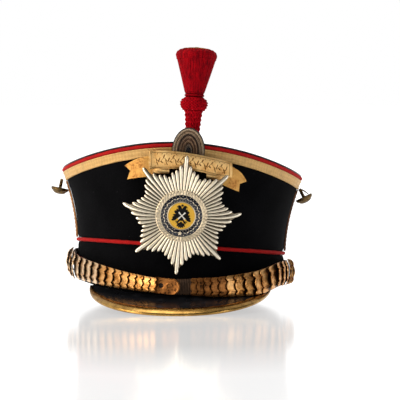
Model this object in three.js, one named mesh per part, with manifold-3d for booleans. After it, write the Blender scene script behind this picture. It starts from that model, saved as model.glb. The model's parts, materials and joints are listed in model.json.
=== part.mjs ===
// A ceremonial shako: flared cloth crown, patent peak, chin scales, star badge and plume.
// Millimetres, +Z up, the wearer looks along -Y. The hat is modelled upright on its band and then
// tilted back until the peak's edge and the back of the band stand on one level.
import * as THREE from "three";
import { mergeVertices } from "three/addons/utils/BufferGeometryUtils.js";
import Module from "manifold-3d";

const wasm = await Module();
wasm.setup();

// Driving dimensions
const gap = 0.3; // clearance between pieces that touch
const ringSteps = 56; // stations round the head
const wall = 2.5; // cloth over its stiffener
const bandHalfWidth = 83.7;
const bandHalfLength = 100;
const bandHeight = 36.4; // to the seam, at the middle of front and back
const seamFall = 5.8; // the old crown has sunk: its seam is this much lower right, higher left
const earRise = 11; // the bottom edge is higher at the sides by this
const pipingHeight = 3;
const pipingBulge = 1.3; // how far piping stands out of the cloth
const sideHeight = 97.3; // top edge at the sides
const saddleRise = 19.4; // the top edge is this much higher at front and back
const topFall = 3.7; // the top edge falls to the right by this
const sideFlare = 13.3;
const endFlare = 12;
const flarePower = 1.9;
const crownLean = 1.1; // the crown leans to the right by this at its top
const laceFrontHeight = 6.9;
const laceSideHeight = 6.4;
const laceThickness = 0.9;
const topThickness = 2.1; // patent leather top
const topOverhang = 0.5; // its edge stands out over the cloth
const stripWidth = 9;
const stripThickness = 1.4;

const peakCornerOut = 0.9; // each corner stands out of the band by this
const peakReach = 137; // from the middle of the head to the peak's front edge
const peakTurn = 57; // degrees round from the front to each corner
const peakDrop = 14; // the front edge lies this far under the band's bottom
const peakShift = -3.5; // its front sits to the left of the middle
const peakSquareness = 2.2;
const peakFall = 1.06; // above 1, the edge leaves its corners more level
const peakThickness = 1.6;
const peakBow = 1.8; // it bends down to its rim from this far above a straight line
const bindingWidth = 7.4;
const bindingMetal = 0.55;
const bindingNose = 1.5;

const strapWidth = 20; // scales at the sides
const strapStand = 6.2; // clear of the band
const strapThickness = 1.4;
const leftScales = 15;
const rightScales = 17;
const scaleShrink = 0.94; // each pitch, of the one before it
const scaleThickness = 0.7;
const scaleLength = 1.62; // of the pitch between scales
const scaleArch = 0.1; // of its width
const scaleLobe = 0.3; // of the pitch
const plateLength = 21;
const plateWidth = 12.6;
const plateHole = 1.8;
const bossRadius = 7;
const bossDepth = 2.6;
const postRadius = 2.5; // pin behind the star

const starRadius = 46.3;
const starHeight = 61.4;
const starOffset = 0.5; // to the right of the middle
const starTurn = 5.2; // degrees clockwise
const starLean = 7.5; // degrees forward
const starSweep = 5; // its side points are swept up by this
const starBend = 58; // radius that its side points are bent to, round its flat middle
const starPlate = 0.7;
const rayHeight = 1.1;
const raysPerPoint = 8;
const rayShortest = 0.69; // of the star's radius
const wreathRadius = 20;
const ringRadius = 16;
const discRadius = 10.2;
const medallionDepth = 2.2;

const cockadeHalfWidth = 12.7;
const cockadeHalfHeight = 18;
const cockadeDepth = 3.4;
const cockadeOffset = 5.8;
const cockadeLift = 5.4; // its middle lies this far below the top edge
const cockadeLean = 12;

const scrollReach = 53.5; // from its middle to the longer tail's tip
const scrollOffset = 7.1;
const scrollDrop = 14.6; // its middle lies this far below the top edge
const scrollStand = 3.7; // its back, in front of the cockade's back
const tipStand = 2.2; // the star's upper tip, in front of the scroll's back
const scrollThickness = 0.8;
const scrollLean = 12;
const scrollBend = 96; // radius that it is bent to, side to side

const plumeOffset = 8.6;
const plumeTurn = 3; // degrees clockwise
const plumeInset = 5.4; // its axis lies this far inside the front edge
const stemLowRadius = 4.8;
const stemHighRadius = 6.9;
const stemHeight = 23.4;
const knobRadius = 10.5;
const knobHeight = 10.5;
const collarRadius = 7.4;
const collarHeight = 3.2;
const brushLowRadius = 7.9;
const brushHighRadius = 15.1;
const brushRim = 15.9;
const brushHeight = 27.3;
const brushCap = 6.8;
const brushLocks = 16;

const buttonRadius = 7.2;
const buttonDepth = 4.4;
const buttonWire = 0.9;
const buttonDrop = 8; // wire between the lace and the button
const buttonInset = 2; // its wire hooks in this far under the lace
const leftButtonLean = 12;
const rightButtonLean = 26;

const turn = THREE.MathUtils.degToRad;
const vec = (x, y, z) => new THREE.Vector3(x, y, z);

// Finishes
const finish = (colour, roughness, metalness) =>
  new THREE.MeshStandardMaterial({ color: colour, roughness, metalness });
const finishes = {
  cloth: finish("#101013", 0.95, 0),
  redCord: finish("#c8201f", 0.8, 0),
  lace: finish("#cfa763", 0.6, 0.3),
  patent: finish("#0a0a0c", 0.15, 0),
  tan: finish("#9a6a44", 0.7, 0),
  brass: finish("#c08c46", 0.35, 1),
  darkBrass: finish("#5a4128", 0.45, 1),
  gilt: finish("#e2b45e", 0.3, 1),
  silver: finish("#e4dccb", 0.35, 1),
  enamel: finish("#0e1018", 0.2, 0),
  goldEnamel: finish("#eebc30", 0.3, 0.6),
  whiteEnamel: finish("#f0eee6", 0.3, 0),
  bullion: finish("#857868", 0.5, 0.6),
  leather: finish("#2a1a12", 0.7, 0),
};

// A closed surface through rings of equally many points: the rings join up, or end in fans to a tip
function skin(rings, { joined = false, tips = [] } = {}) {
  const size = rings[0].length;
  const points = rings.flat();
  const faces = [];
  const spans = joined ? rings.length : rings.length - 1;
  for (let i = 0; i < spans; i++)
    for (let j = 0; j < size; j++) {
      const low = i * size;
      const high = ((i + 1) % rings.length) * size;
      const next = (j + 1) % size;
      faces.push(low + j, low + next, high + j, low + next, high + next, high + j);
    }
  if (!joined)
    [0, rings.length - 1].forEach((ring, end) => {
      const middle = new THREE.Vector3();
      rings[ring].forEach((p) => middle.addScaledVector(p, 1 / size));
      points.push(tips[end] ?? middle);
      for (let j = 0; j < size; j++) {
        const pair = [ring * size + j, ring * size + ((j + 1) % size)];
        faces.push(...(end ? pair : pair.reverse()), points.length - 1);
      }
    });
  return closed(points, faces);
}

// The geometry of points and faces, turned so that its faces look outwards
function closed(points, faces) {
  let volume = 0;
  const normal = new THREE.Vector3();
  for (let i = 0; i < faces.length; i += 3) {
    const [a, b, c] = [0, 1, 2].map((k) => points[faces[i + k]]);
    volume += normal.crossVectors(b, c).dot(a);
  }
  const geometry = new THREE.BufferGeometry().setFromPoints(points);
  geometry.setIndex(volume < 0 ? faces.reverse() : faces);
  return geometry;
}

// A three.js geometry as a solid that can be joined and cut
function solid(geometry) {
  const bare = geometry.clone();
  bare.deleteAttribute("normal");
  bare.deleteAttribute("uv");
  const merged = mergeVertices(bare, 1e-4);
  return new wasm.Manifold(
    new wasm.Mesh({
      numProp: 3,
      vertProperties: merged.attributes.position.array,
      triVerts: new Uint32Array(merged.index.array),
    }),
  );
}

function surface(body) {
  const mesh = body.getMesh();
  const geometry = new THREE.BufferGeometry();
  geometry.setAttribute("position", new THREE.BufferAttribute(mesh.vertProperties, 3));
  return geometry.setIndex(new THREE.BufferAttribute(mesh.triVerts, 1));
}

const join = (...geometries) => surface(geometries.map(solid).reduce((a, b) => a.add(b)));

const hat = new THREE.Group();

function piece(name, geometry, material, parent = hat) {
  const mesh = new THREE.Mesh(geometry, material);
  mesh.name = name;
  geometry.computeVertexNormals();
  parent.add(mesh);
  return mesh;
}

// Head: heights and the oval at each level, by the angle round from the front towards the right
const edgeHeight = (angle) => earRise * Math.sin(angle) ** 2;
const seamHeight = (angle) => bandHeight - seamFall * Math.sin(angle);
const topHeight = (angle) =>
  sideHeight + saddleRise * Math.cos(angle) ** 2 - topFall * Math.sin(angle);
const laceHeight = (angle) =>
  laceFrontHeight + (laceSideHeight - laceFrontHeight) * Math.sin(angle) ** 2;

const oval = (halfWidth, halfLength, angle, height) =>
  vec(halfWidth * Math.sin(angle), -halfLength * Math.cos(angle), height);

const bandPoint = (angle, height, out = 0) =>
  oval(bandHalfWidth + out, bandHalfLength + out, angle, height);

function crownPoint(angle, height, out = 0) {
  const seam = seamHeight(angle);
  const share = Math.max(0, (height - seam) / (topHeight(angle) - seam)) ** flarePower;
  const point = oval(
    bandHalfWidth + sideFlare * share + out,
    bandHalfLength + endFlare * share + out,
    angle,
    height,
  );
  point.x += crownLean * share;
  return point;
}

// A hoop round the head: section gives the points of its cross-section at an angle
function hoop(section) {
  const rings = [];
  for (let i = 0; i < ringSteps; i++)
    rings.push(section(((i + 0.5) / ringSteps) * 2 * Math.PI));
  return skin(rings, { joined: true });
}

function crownWall() {
  const levels = [0, 0.25, 0.45, 0.65, 0.83, 1];
  return hoop((angle) => {
    const low = seamHeight(angle) + pipingHeight + gap / 2;
    const high = topHeight(angle) - pipingHeight - gap / 2;
    const at = (share) => low + share * (high - low);
    const outside = levels.map((share) => crownPoint(angle, at(share)));
    const inside = levels.map((share) => crownPoint(angle, at(share), -wall));
    return [...outside, ...inside.reverse()];
  });
}

function lowerBand() {
  return hoop((angle) => {
    const [low, top] = [edgeHeight(angle), seamHeight(angle) - gap / 2];
    const middle = (low + top) / 2;
    return [
      bandPoint(angle, low),
      bandPoint(angle, middle),
      bandPoint(angle, top),
      bandPoint(angle, top, -wall),
      bandPoint(angle, middle, -wall),
      bandPoint(angle, low, -wall),
    ];
  });
}

// A roll of cloth between two edges, standing out beyond the wall
function piping(place, base) {
  return hoop((angle) => {
    const at = (share, out) => place(angle, base(angle) + share * pipingHeight, out);
    const [low, high] = [gap / 2 / pipingHeight, 1 - gap / 2 / pipingHeight];
    return [
      at(low, -wall), at(low, 0), at(0.3, pipingBulge),
      at(0.7, pipingBulge), at(high, 0), at(high, -wall),
    ];
  });
}

function galloon() {
  return hoop((angle) => {
    const high = topHeight(angle) - pipingHeight - gap / 2;
    const low = high - laceHeight(angle);
    return [
      crownPoint(angle, low, gap),
      crownPoint(angle, low, gap + laceThickness),
      crownPoint(angle, high, gap + laceThickness),
      crownPoint(angle, high, gap),
    ];
  });
}

// Patent leather top: a sheet bent one way, so that it follows the high front and back, on a level rim
function crownTop() {
  const field = (share, angle) => {
    const edge = crownPoint(angle, topHeight(angle), -wall - gap);
    const height =
      sideHeight + saddleRise * (share * Math.cos(angle)) ** 2 - topFall * share * Math.sin(angle);
    return vec(edge.x * share, edge.y * share, height);
  };
  const rim = (angle) => crownPoint(angle, topHeight(angle), topOverhang);
  const ring = (place, lift) =>
    Array.from({ length: ringSteps }, (_, i) => {
      const point = place(((i + 0.5) / ringSteps) * 2 * Math.PI);
      point.z += lift;
      return point;
    });
  const places = [0.5, 1].map((share) => (angle) => field(share, angle)).concat(rim);
  const under = places.map((place) => ring(place, gap));
  const over = places.map((place) => ring(place, topThickness)).reverse();
  const middle = (lift) => vec(0, 0, sideHeight + lift);
  return skin([...under, ...over], { tips: [middle(gap), middle(topThickness)] });
}

// A strip of tan leather down one side of the crown
function sideStrip(side) {
  const angleOf = (share, height) =>
    side * Math.PI / 2 + share * (stripWidth / 2 / crownPoint(side * Math.PI / 2, height).length());
  const rings = [];
  const steps = 6;
  for (let i = 0; i <= steps; i++) {
    const ring = [];
    for (const [share, out] of [[-1, 0], [0, 0], [1, 0], [1, 1], [0, 1], [-1, 1]]) {
      const angle = angleOf(share, sideHeight);
      const low = seamHeight(angle) + pipingHeight + gap;
      const high = topHeight(angle) - pipingHeight - laceHeight(angle) - 2 * gap;
      ring.push(crownPoint(angle, low + (i / steps) * (high - low), gap + out * stripThickness));
    }
    rings.push(ring);
  }
  return skin(rings);
}

// Peak: straight rulings from a root under the band's edge to a squarish outline
function peakRuling(share) {
  const angle = share * turn(peakTurn);
  const root = bandPoint(angle, edgeHeight(angle) - gap - peakThickness / 2, -wall / 2);
  const swing = (share * Math.PI) / 2;
  const corner = -bandHalfLength * Math.cos(turn(peakTurn));
  const halfWidth = bandHalfWidth * Math.sin(turn(peakTurn)) + peakCornerOut;
  const cornerHeight = edgeHeight(turn(peakTurn)) - 2 * gap - peakThickness;
  const power = 2 / peakSquareness;
  const forward = Math.abs(Math.cos(swing)) ** power;
  const rim = vec(
    halfWidth * Math.sign(share) * Math.abs(Math.sin(swing)) ** power + peakShift * forward,
    corner - (peakReach + corner) * forward,
    cornerHeight - (cornerHeight + peakDrop) * forward ** peakFall,
  );
  return { root, rim };
}

const longestRuling = peakRuling(0).root.distanceTo(peakRuling(0).rim);

// At a ruling: where the binding's lips end, and the place and directions at each share of its length.
// The bow is share^3 (1 - share), at most 27 / 256, and less by the square where the ruling is shorter.
function peakFrame(share) {
  const step = 0.01;
  const { root, rim } = peakRuling(share);
  const length = root.distanceTo(rim);
  const out = rim.clone().sub(root).divideScalar(length);
  const before = peakRuling(Math.max(-1, share - step)).rim;
  const along = peakRuling(Math.min(1, share + step)).rim.sub(before);
  const up = along.normalize().clone().cross(out).normalize();
  if (up.z < 0) up.negate();
  const bow = (peakBow / (27 / 256)) * (length / longestRuling) ** 2;
  const clear = (wall / 2 + 2 * gap) / Math.hypot(rim.x - root.x, rim.y - root.y);
  const lip = 1 - Math.min(bindingWidth / length, 1 - clear);
  const at = (place, height, ahead = 0) => {
    const slope = (bow * (3 * place ** 2 - 4 * place ** 3)) / length;
    const forward = out.clone().addScaledVector(up, slope).normalize();
    const upward = up.clone().addScaledVector(out, -slope).normalize();
    return root
      .clone()
      .lerp(rim, place)
      .addScaledVector(up, bow * place ** 3 * (1 - place))
      .addScaledVector(upward, height)
      .addScaledVector(forward, ahead);
  };
  const lips = [0, 0.5, 1].map((part) => lip + part * (1 - lip));
  return { lips, at };
}

const peakSteps = 23;
const peakShares = Array.from({ length: peakSteps + 1 }, (_, i) => (2 * i) / peakSteps - 1);

function peakLeather() {
  const half = peakThickness / 2;
  const rings = peakShares.map((share) => {
    const { lips, at } = peakFrame(share);
    const places = [0, lips[0] / 2, ...lips];
    const under = places.map((place) => at(place, -half));
    return [...under, ...places.reverse().map((place) => at(place, half))];
  });
  return skin(rings);
}

function peakBinding() {
  const slot = peakThickness / 2 + gap * 0.8;
  const face = slot + bindingMetal;
  const rings = peakShares.map((share) => {
    const { lips, at } = peakFrame(share);
    const path = (height, nose, bluff) => [
      ...lips.map((place) => at(place, height)), at(1, height * bluff, nose),
      at(1, -height * bluff, nose), ...[...lips].reverse().map((place) => at(place, -height)),
    ];
    return [...path(face, bindingNose, 0.4), ...path(slot, gap, 1).reverse()];
  });
  return channel(rings);
}

// A folded sheet through rings: half of each ring is its outside, the rest its inside, backwards
function channel(rings) {
  const size = rings[0].length;
  const points = rings.flat();
  const faces = [];
  for (let i = 0; i + 1 < rings.length; i++)
    for (let j = 0; j < size; j++) {
      const [low, high, next] = [i * size, (i + 1) * size, (j + 1) % size];
      faces.push(low + j, low + next, high + j, low + next, high + next, high + j);
    }
  [0, rings.length - 1].forEach((ring, end) => {
    for (let j = 0; j + 1 < size / 2; j++) {
      const [p, q, r, t] = [j, j + 1, size - 2 - j, size - 1 - j].map((k) => ring * size + k);
      faces.push(...(end ? [p, q, r, p, r, t] : [p, r, q, p, t, r]));
    }
  });
  return closed(points, faces);
}

// Chin straps: the middle line and width by the angle round the head. Heights are shares of the
// band's height, widths of the strap's width and stands of its clearance.
const leftRoute = [
  { angle: -98, height: 0.79, width: 0.93, stand: 0.36 },
  { angle: -88, height: 0.76, width: 0.95, stand: 0.52 },
  { angle: -70, height: 0.62, width: 0.92, stand: 0.8 },
  { angle: -50, height: 0.485, width: 0.79, stand: 1 },
  { angle: -33, height: 0.35, width: 0.66, stand: 1 },
  { angle: -17, height: 0.24, width: 0.57, stand: 1.05 },
  { angle: -2, height: 0.175, width: 0.55, stand: 1.3 },
];
const rightRoute = [
  { angle: 98, height: 0.52, width: 0.93, stand: 0.34 },
  { angle: 88, height: 0.5, width: 0.95, stand: 0.45 },
  { angle: 68, height: 0.47, width: 0.98, stand: 1.05 },
  { angle: 53, height: 0.43, width: 0.92, stand: 1.9 },
  { angle: 45, height: 0.345, width: 0.91, stand: 2.05 },
  { angle: 36, height: 0.258, width: 0.9, stand: 2.1 },
  { angle: 20, height: 0.18, width: 0.75, stand: 1.4 },
  { angle: 5, height: 0.175, width: 0.63, stand: 0.85 },
  { angle: -6, height: 0.17, width: 0.58, stand: 0.7 },
];

// A strap as curves with an outward and an upward direction at each share of its length
function strapLine(route) {
  const line = new THREE.CatmullRomCurve3(
    route.map((row) => bandPoint(turn(row.angle), row.height * bandHeight, row.stand * strapStand)),
    false,
    "centripetal",
  );
  const widths = new THREE.CatmullRomCurve3(route.map((row) => vec(row.width * strapWidth, 0, 0)));
  return {
    length: line.getLength(),
    at(share) {
      const place = line.getPointAt(share);
      const along = line.getTangentAt(share);
      const width = widths.getPoint(line.getUtoTmapping(share)).x;
      const out = vec(place.x / bandHalfWidth ** 2, place.y / bandHalfLength ** 2, 0);
      out.addScaledVector(along, -out.dot(along)).normalize();
      const up = out.clone().cross(along).normalize();
      return { place, along, out, up: up.z < 0 ? up.negate() : up, width };
    },
  };
}

function strapBacking(line) {
  const steps = 22;
  const rings = [];
  for (let i = 0; i <= steps; i++) {
    const { place, out, up, width } = line.at(i / steps);
    const corner = (rise, depth) =>
      place.clone().addScaledVector(up, (rise * width * 0.84) / 2).addScaledVector(out, depth);
    rings.push([
      corner(-1, -strapThickness), corner(1, -strapThickness), corner(1, 0), corner(-1, 0),
    ]);
  }
  return skin(rings);
}

// Where each scale starts, each pitch being the same share of the one before it
function scaleStarts(count, from, to) {
  const whole = 1 - scaleShrink ** count;
  const start = (i) => from + ((to - from) * (1 - scaleShrink ** i)) / whole;
  return Array.from({ length: count }, (_, i) => start(i));
}

// One scale: a thin arched plate whose free end has three lobes and lies over the next scale
function scale(line, start, pitch) {
  const frame = line.at(Math.min(1, start));
  const long = scaleLength * pitch;
  const slope = (scaleThickness + gap) / pitch;
  const lobes = [-1, -0.66, -0.33, 0, 0.33, 0.66, 1];
  const point = (along, across, lift) => {
    const arch = scaleArch * frame.width * (1 - across * across);
    const tip = along > 0 ? scaleLobe * pitch * lobeReach(across) : 0;
    const run = along * long + tip;
    return frame.place
      .clone()
      .addScaledVector(frame.along, run)
      .addScaledVector(frame.up, (across * frame.width) / 2)
      .addScaledVector(frame.out, gap + arch + run * slope + lift);
  };
  const rings = lobes.map((across) => [
    point(0, across, 0), point(1, across, 0),
    point(1, across, scaleThickness), point(0, across, scaleThickness),
  ]);
  return skin(rings);
}

// How far the free end reaches: three rounded lobes with notches between them
function lobeReach(across) {
  const nearest = Math.round(across / 0.66) * 0.66;
  return 1 - ((across - nearest) / 0.33) ** 2 - 0.6 * across * across;
}

// Star: a plate bent to the head, in its own frame with +Z out of the face
function starBent(x, y, z) {
  const beyond = Math.max(0, Math.abs(x) - wreathRadius);
  const angle = beyond / starBend;
  const reach = Math.min(Math.abs(x), wreathRadius) + (starBend + z) * Math.sin(angle);
  const rise = starSweep * (Math.abs(x) / starRadius) ** 4;
  return vec(Math.sign(x) * reach, y + rise, (starBend + z) * Math.cos(angle) - starBend);
}

// Length of ray number i: the middle ray of each point is the longest
function rayReach(i) {
  const half = raysPerPoint / 2;
  const away = Math.abs(((i + half) % raysPerPoint) - half) / half;
  return starRadius * (1 - (1 - rayShortest) * away ** 0.45);
}

function starRays() {
  const rays = 8 * raysPerPoint;
  const inner = wreathRadius - 1;
  const at = (radius, i, z) => {
    const angle = (i / rays) * 2 * Math.PI;
    return starBent(radius * Math.sin(angle), radius * Math.cos(angle), z);
  };
  const points = [];
  const faces = [];
  for (let i = 0; i < rays; i++) {
    const before = Math.min(rayReach(i), rayReach((i + rays - 1) % rays)) - 1.4;
    points.push(
      at(inner, i - 0.5, starPlate), at(inner, i, starPlate + rayHeight),
      at(before, i - 0.5, starPlate), at(rayReach(i) - 1, i, starPlate + rayHeight),
      at(rayReach(i), i, starPlate / 2), at(inner, i - 0.5, 0), at(before, i - 0.5, 0),
    );
  }
  const hub = points.length;
  points.push(starBent(0, 0, starPlate), starBent(0, 0, 0));
  for (let i = 0; i < rays; i++) {
    const [valley, ridge, mouth, crest, tip, under, lip] = [0, 1, 2, 3, 4, 5, 6].map((k) => i * 7 + k);
    const [valley2, , mouth2, , , under2, lip2] = [0, 1, 2, 3, 4, 5, 6].map(
      (k) => ((i + 1) % rays) * 7 + k,
    );
    faces.push(
      hub, ridge, valley, hub, valley2, ridge,
      valley, ridge, mouth, ridge, crest, mouth, ridge, valley2, mouth2, ridge, mouth2, crest,
      mouth, crest, tip, crest, mouth2, tip, mouth, tip, lip, tip, mouth2, lip2,
      tip, lip2, lip, under, lip, lip2, under, lip2, under2, hub + 1, under, under2,
    );
  }
  return closed(points, faces);
}

// A ring or disc about +Z: its profile is a list of radii and heights
function turned(profile, sides = 32) {
  const lathe = new THREE.LatheGeometry(profile.map(([r, z]) => new THREE.Vector2(r, z)), sides);
  return lathe.rotateX(Math.PI / 2);
}

function flange(outer, inner, low, high) {
  const shape = new THREE.Shape().absarc(0, 0, outer, 0, 2 * Math.PI);
  shape.holes.push(new THREE.Path().absarc(0, 0, inner, 0, 2 * Math.PI));
  return plate(shape, low, high, 10);
}

function plate(shape, low, high, curveSegments = 6) {
  return new THREE.ExtrudeGeometry(shape, {
    depth: high - low,
    bevelEnabled: false,
    curveSegments,
  }).translate(0, 0, low);
}

const outline = (rows) => new THREE.Shape(rows.map(([x, y]) => new THREE.Vector2(x, y)));

// Two-headed bird: half of its outline, as shares of the disc's radius
const birdHalf = [
  [0, 0.5], [0.08, 0.56], [0.1, 0.74], [0.3, 0.7], [0.22, 0.54], [0.24, 0.38], [0.46, 0.62],
  [0.74, 0.66], [0.8, 0.4], [0.68, 0.1], [0.5, -0.12], [0.3, -0.14], [0.42, -0.42], [0.24, -0.5],
  [0.16, -0.36], [0.2, -0.8], [0, -0.86],
];

function bird(low, high) {
  const reach = discRadius * 0.9;
  const right = birdHalf.map(([x, y]) => [x * reach, y * reach]);
  const left = right.slice(1, -1).reverse().map(([x, y]) => [-x, y]);
  return plate(outline([...right, ...left]), low, high);
}

function saltire(low, high) {
  const [long, half] = [discRadius * 0.34, discRadius * 0.05];
  const arm = (angle) =>
    new THREE.BoxGeometry(2 * long, 2 * half, high - low)
      .translate(0, 0, (high + low) / 2)
      .rotateZ(angle);
  return join(arm(Math.PI / 4), arm(-Math.PI / 4));
}

// Scroll: outlines from its middle, x to the right and y up, as shares of its reach, in one bent sheet
const scrollPanel = [
  { x: -0.579, top: 0.157, bottom: -0.105 },
  { x: -0.271, top: 0.166, bottom: -0.099 },
  { x: -0.131, top: 0.155, bottom: -0.086 },
  { x: 0.062, top: 0.123, bottom: -0.118 },
  { x: 0.269, top: 0.079, bottom: -0.176 },
  { x: 0.437, top: 0.036, bottom: -0.206 },
  { x: 0.598, top: -0.015, bottom: -0.232 },
];
const leftTail = [
  { x: -0.561, y: 0.056 }, { x: -0.645, y: 0.062 }, { x: -0.822, y: 0 }, { x: -1, y: -0.093 },
  { x: -0.841, y: -0.157 }, { x: -0.959, y: -0.292 }, { x: -0.748, y: -0.243 },
  { x: -0.561, y: -0.217 },
];
const rightTail = [
  { x: 0.579, y: -0.075 }, { x: 0.729, y: -0.159 }, { x: 0.852, y: -0.314 }, { x: 0.71, y: -0.318 },
  { x: 0.729, y: -0.456 }, { x: 0.449, y: -0.336 }, { x: 0.449, y: -0.206 },
];
const leftFold = [
  { x: -0.542, y: -0.084 }, { x: -0.542, y: -0.178 }, { x: -0.486, y: -0.198 },
  { x: -0.355, y: -0.187 }, { x: -0.307, y: -0.131 }, { x: -0.299, y: -0.084 },
];
const rightFold = [
  { x: 0.243, y: -0.159 }, { x: 0.252, y: -0.232 }, { x: 0.374, y: -0.284 }, { x: 0.467, y: -0.28 },
  { x: 0.505, y: -0.206 },
];

function scrollBent(x, y, z) {
  const angle = x / scrollBend;
  return vec((scrollBend + z) * Math.sin(angle), y, (scrollBend + z) * Math.cos(angle) - scrollBend);
}

function bentPlate(rows, low, high) {
  const flat = plate(outline(rows.map(({ x, y }) => [x * scrollReach, y * scrollReach])), low, high);
  const place = flat.attributes.position;
  for (let i = 0; i < place.count; i++) {
    const p = scrollBent(place.getX(i), place.getY(i), place.getZ(i));
    place.setXYZ(i, p.x, p.y, p.z);
  }
  return flat;
}

function scroll() {
  const rings = scrollPanel.map(({ x, top, bottom }) => {
    const swell = (share) => 0.9 * (1 - (2 * share - 1) ** 2);
    const edge = (share, back) =>
      scrollBent(
        x * scrollReach,
        (bottom + share * (top - bottom)) * scrollReach,
        swell(share) + (back ? 0 : scrollThickness),
      );
    return [
      edge(0, false), edge(0.5, false), edge(1, false), edge(1, true), edge(0.5, true), edge(0, true),
    ];
  });
  const panel = skin(rings);
  const tails = [leftTail, rightTail].map((rows) => bentPlate(rows, -0.7, 0.25));
  const folds = [leftFold, rightFold].map((rows) => bentPlate(rows, -0.5, 0.35));
  return join(panel, ...tails, ...folds);
}

// Cockade: an oval boss of rounded ridges round a raised middle
function cockade() {
  const ridges = [
    { reach: 1, rise: 0 }, { reach: 1, rise: 0.45 }, { reach: 0.94, rise: 0.62 },
    { reach: 0.8, rise: 0.55 }, { reach: 0.74, rise: 0.75 }, { reach: 0.58, rise: 0.68 },
    { reach: 0.5, rise: 0.88 },
    { reach: 0.36, rise: 0.8 }, { reach: 0.26, rise: 1 },
  ];
  const sides = 24;
  const rings = ridges.map(({ reach, rise }) =>
    Array.from({ length: sides }, (_, i) => {
      const angle = (i / sides) * 2 * Math.PI;
      return vec(
        reach * cockadeHalfWidth * Math.cos(angle),
        reach * cockadeHalfHeight * Math.sin(angle),
        rise * cockadeDepth,
      );
    }),
  );
  return skin(rings, { tips: [vec(0, 0, 0), vec(0, 0, cockadeDepth * 0.95)] });
}

// Plume: a netted stem, a knob and a spreading brush of locks
const plumeStem = () =>
  turned(
    [
      [0, 0], [stemLowRadius, 0], [stemLowRadius * 1.12, stemHeight * 0.35],
      [stemHighRadius * 0.92, stemHeight * 0.75], [stemHighRadius, stemHeight - gap],
      [0, stemHeight - gap],
    ],
    16,
  );

function plumeKnob() {
  const at = (radius, height) => [knobRadius * radius, stemHeight + knobHeight * height];
  return turned(
    [at(0, 0), at(0.82, 0), at(0.98, 0.3), at(1, 0.6), at(0.86, 0.92), at(0.6, 1), at(0, 1)],
    20,
  );
}

function plumeBrush() {
  const base = stemHeight + knobHeight + gap;
  const collar = base + collarHeight;
  const spread = brushHighRadius - brushLowRadius;
  const levels = [
    { height: base, radius: collarRadius * 0.9, lock: 0 },
    { height: base + collarHeight / 2, radius: collarRadius, lock: 0 },
    { height: collar, radius: brushLowRadius, lock: 0.02 },
    { height: collar + brushHeight * 0.45, radius: brushLowRadius + spread * 0.45, lock: 0.05 },
    { height: collar + brushHeight * 0.9, radius: brushHighRadius, lock: 0.04 },
    { height: collar + brushHeight, radius: brushRim, lock: 0.02 },
    { height: collar + brushHeight + brushCap * 0.5, radius: brushRim * 0.86, lock: 0.02 },
    { height: collar + brushHeight + brushCap * 0.88, radius: brushRim * 0.46, lock: 0.02 },
  ];
  const rings = levels.map(({ height, radius, lock }) =>
    Array.from({ length: 2 * brushLocks }, (_, i) => {
      const angle = (i / (2 * brushLocks)) * 2 * Math.PI;
      const reach = radius * (1 + (i % 2 ? -lock : lock));
      return vec(reach * Math.cos(angle), reach * Math.sin(angle), height);
    }),
  );
  return skin(rings, { tips: [vec(0, 0, base), vec(0, 0, collar + brushHeight + brushCap)] });
}

// Side button: a dome that hangs from a wire shank, in its own frame with the dome towards -Z
function sideButton() {
  const at = (radius, height) => [buttonRadius * radius, buttonDepth * height];
  const dome = turned(
    [at(0, -1), at(0.45, -0.88), at(0.82, -0.5), at(1, 0), at(0.6, 0.18), at(0, 0.14)],
    18,
  );
  const wire = new THREE.CylinderGeometry(buttonWire, buttonWire, buttonDrop, 6)
    .rotateX(Math.PI / 2)
    .translate(0, 0, buttonDrop / 2);
  return join(dome, wire.clone().translate(0, -1.2, 0), wire.clone().translate(0, 1.2, 0));
}

// Stud on the end of a strap, its axis along +Z
const chinBoss = () =>
  turned([[0, 0], [bossRadius, 0], [bossRadius * 0.8, bossDepth * 0.8], [0, bossDepth]], 16);

// End plate of the left strap: round end, hole and a hooked bump
function chinPlate() {
  const half = plateWidth / 2;
  const shape = new THREE.Shape();
  shape.moveTo(0, -half);
  shape.lineTo(plateLength - half, -half);
  shape.absarc(plateLength - half, 0, half, -Math.PI / 2, Math.PI / 2, false);
  shape.lineTo(0, half);
  shape.closePath();
  shape.holes.push(new THREE.Path().absarc(plateLength * 0.28, 0, plateHole, 0, 2 * Math.PI));
  const bump = new THREE.SphereGeometry(half * 0.42, 10, 6)
    .scale(1.5, 1, 0.7)
    .translate(plateLength * 0.62, 0, 1);
  return join(plate(shape, 0, 1, 6), bump);
}

// A group whose +X, +Y and +Z point along, up and out at a place on the hat
function seat(place, along, up, out) {
  const group = new THREE.Group();
  const frame = new THREE.Matrix4().makeBasis(along, up, out).setPosition(place);
  frame.decompose(group.position, group.quaternion, group.scale);
  hat.add(group);
  return group;
}

// A group on the front of the crown, leaning forward and turned clockwise
function frontSeat(x, y, height, lean, clockwise) {
  const group = seat(vec(x, y, height), vec(1, 0, 0), vec(0, 0, 1), vec(0, -1, 0));
  group.rotateX(turn(lean));
  group.rotateZ(-turn(clockwise));
  return group;
}

piece("crown_wall", crownWall(), finishes.cloth);
piece("lower_band", lowerBand(), finishes.cloth);
piece("band_piping", piping(bandPoint, seamHeight), finishes.redCord);
piece("galloon", galloon(), finishes.lace);
const topBase = (angle) => topHeight(angle) - pipingHeight;
piece("top_piping", piping(crownPoint, topBase), finishes.redCord);
piece("crown_top", crownTop(), finishes.patent);
piece("side_strip_left", sideStrip(-1), finishes.tan);
piece("side_strip_right", sideStrip(1), finishes.tan);
piece("peak", peakLeather(), finishes.patent);
piece("peak_binding", peakBinding(), finishes.brass);

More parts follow.
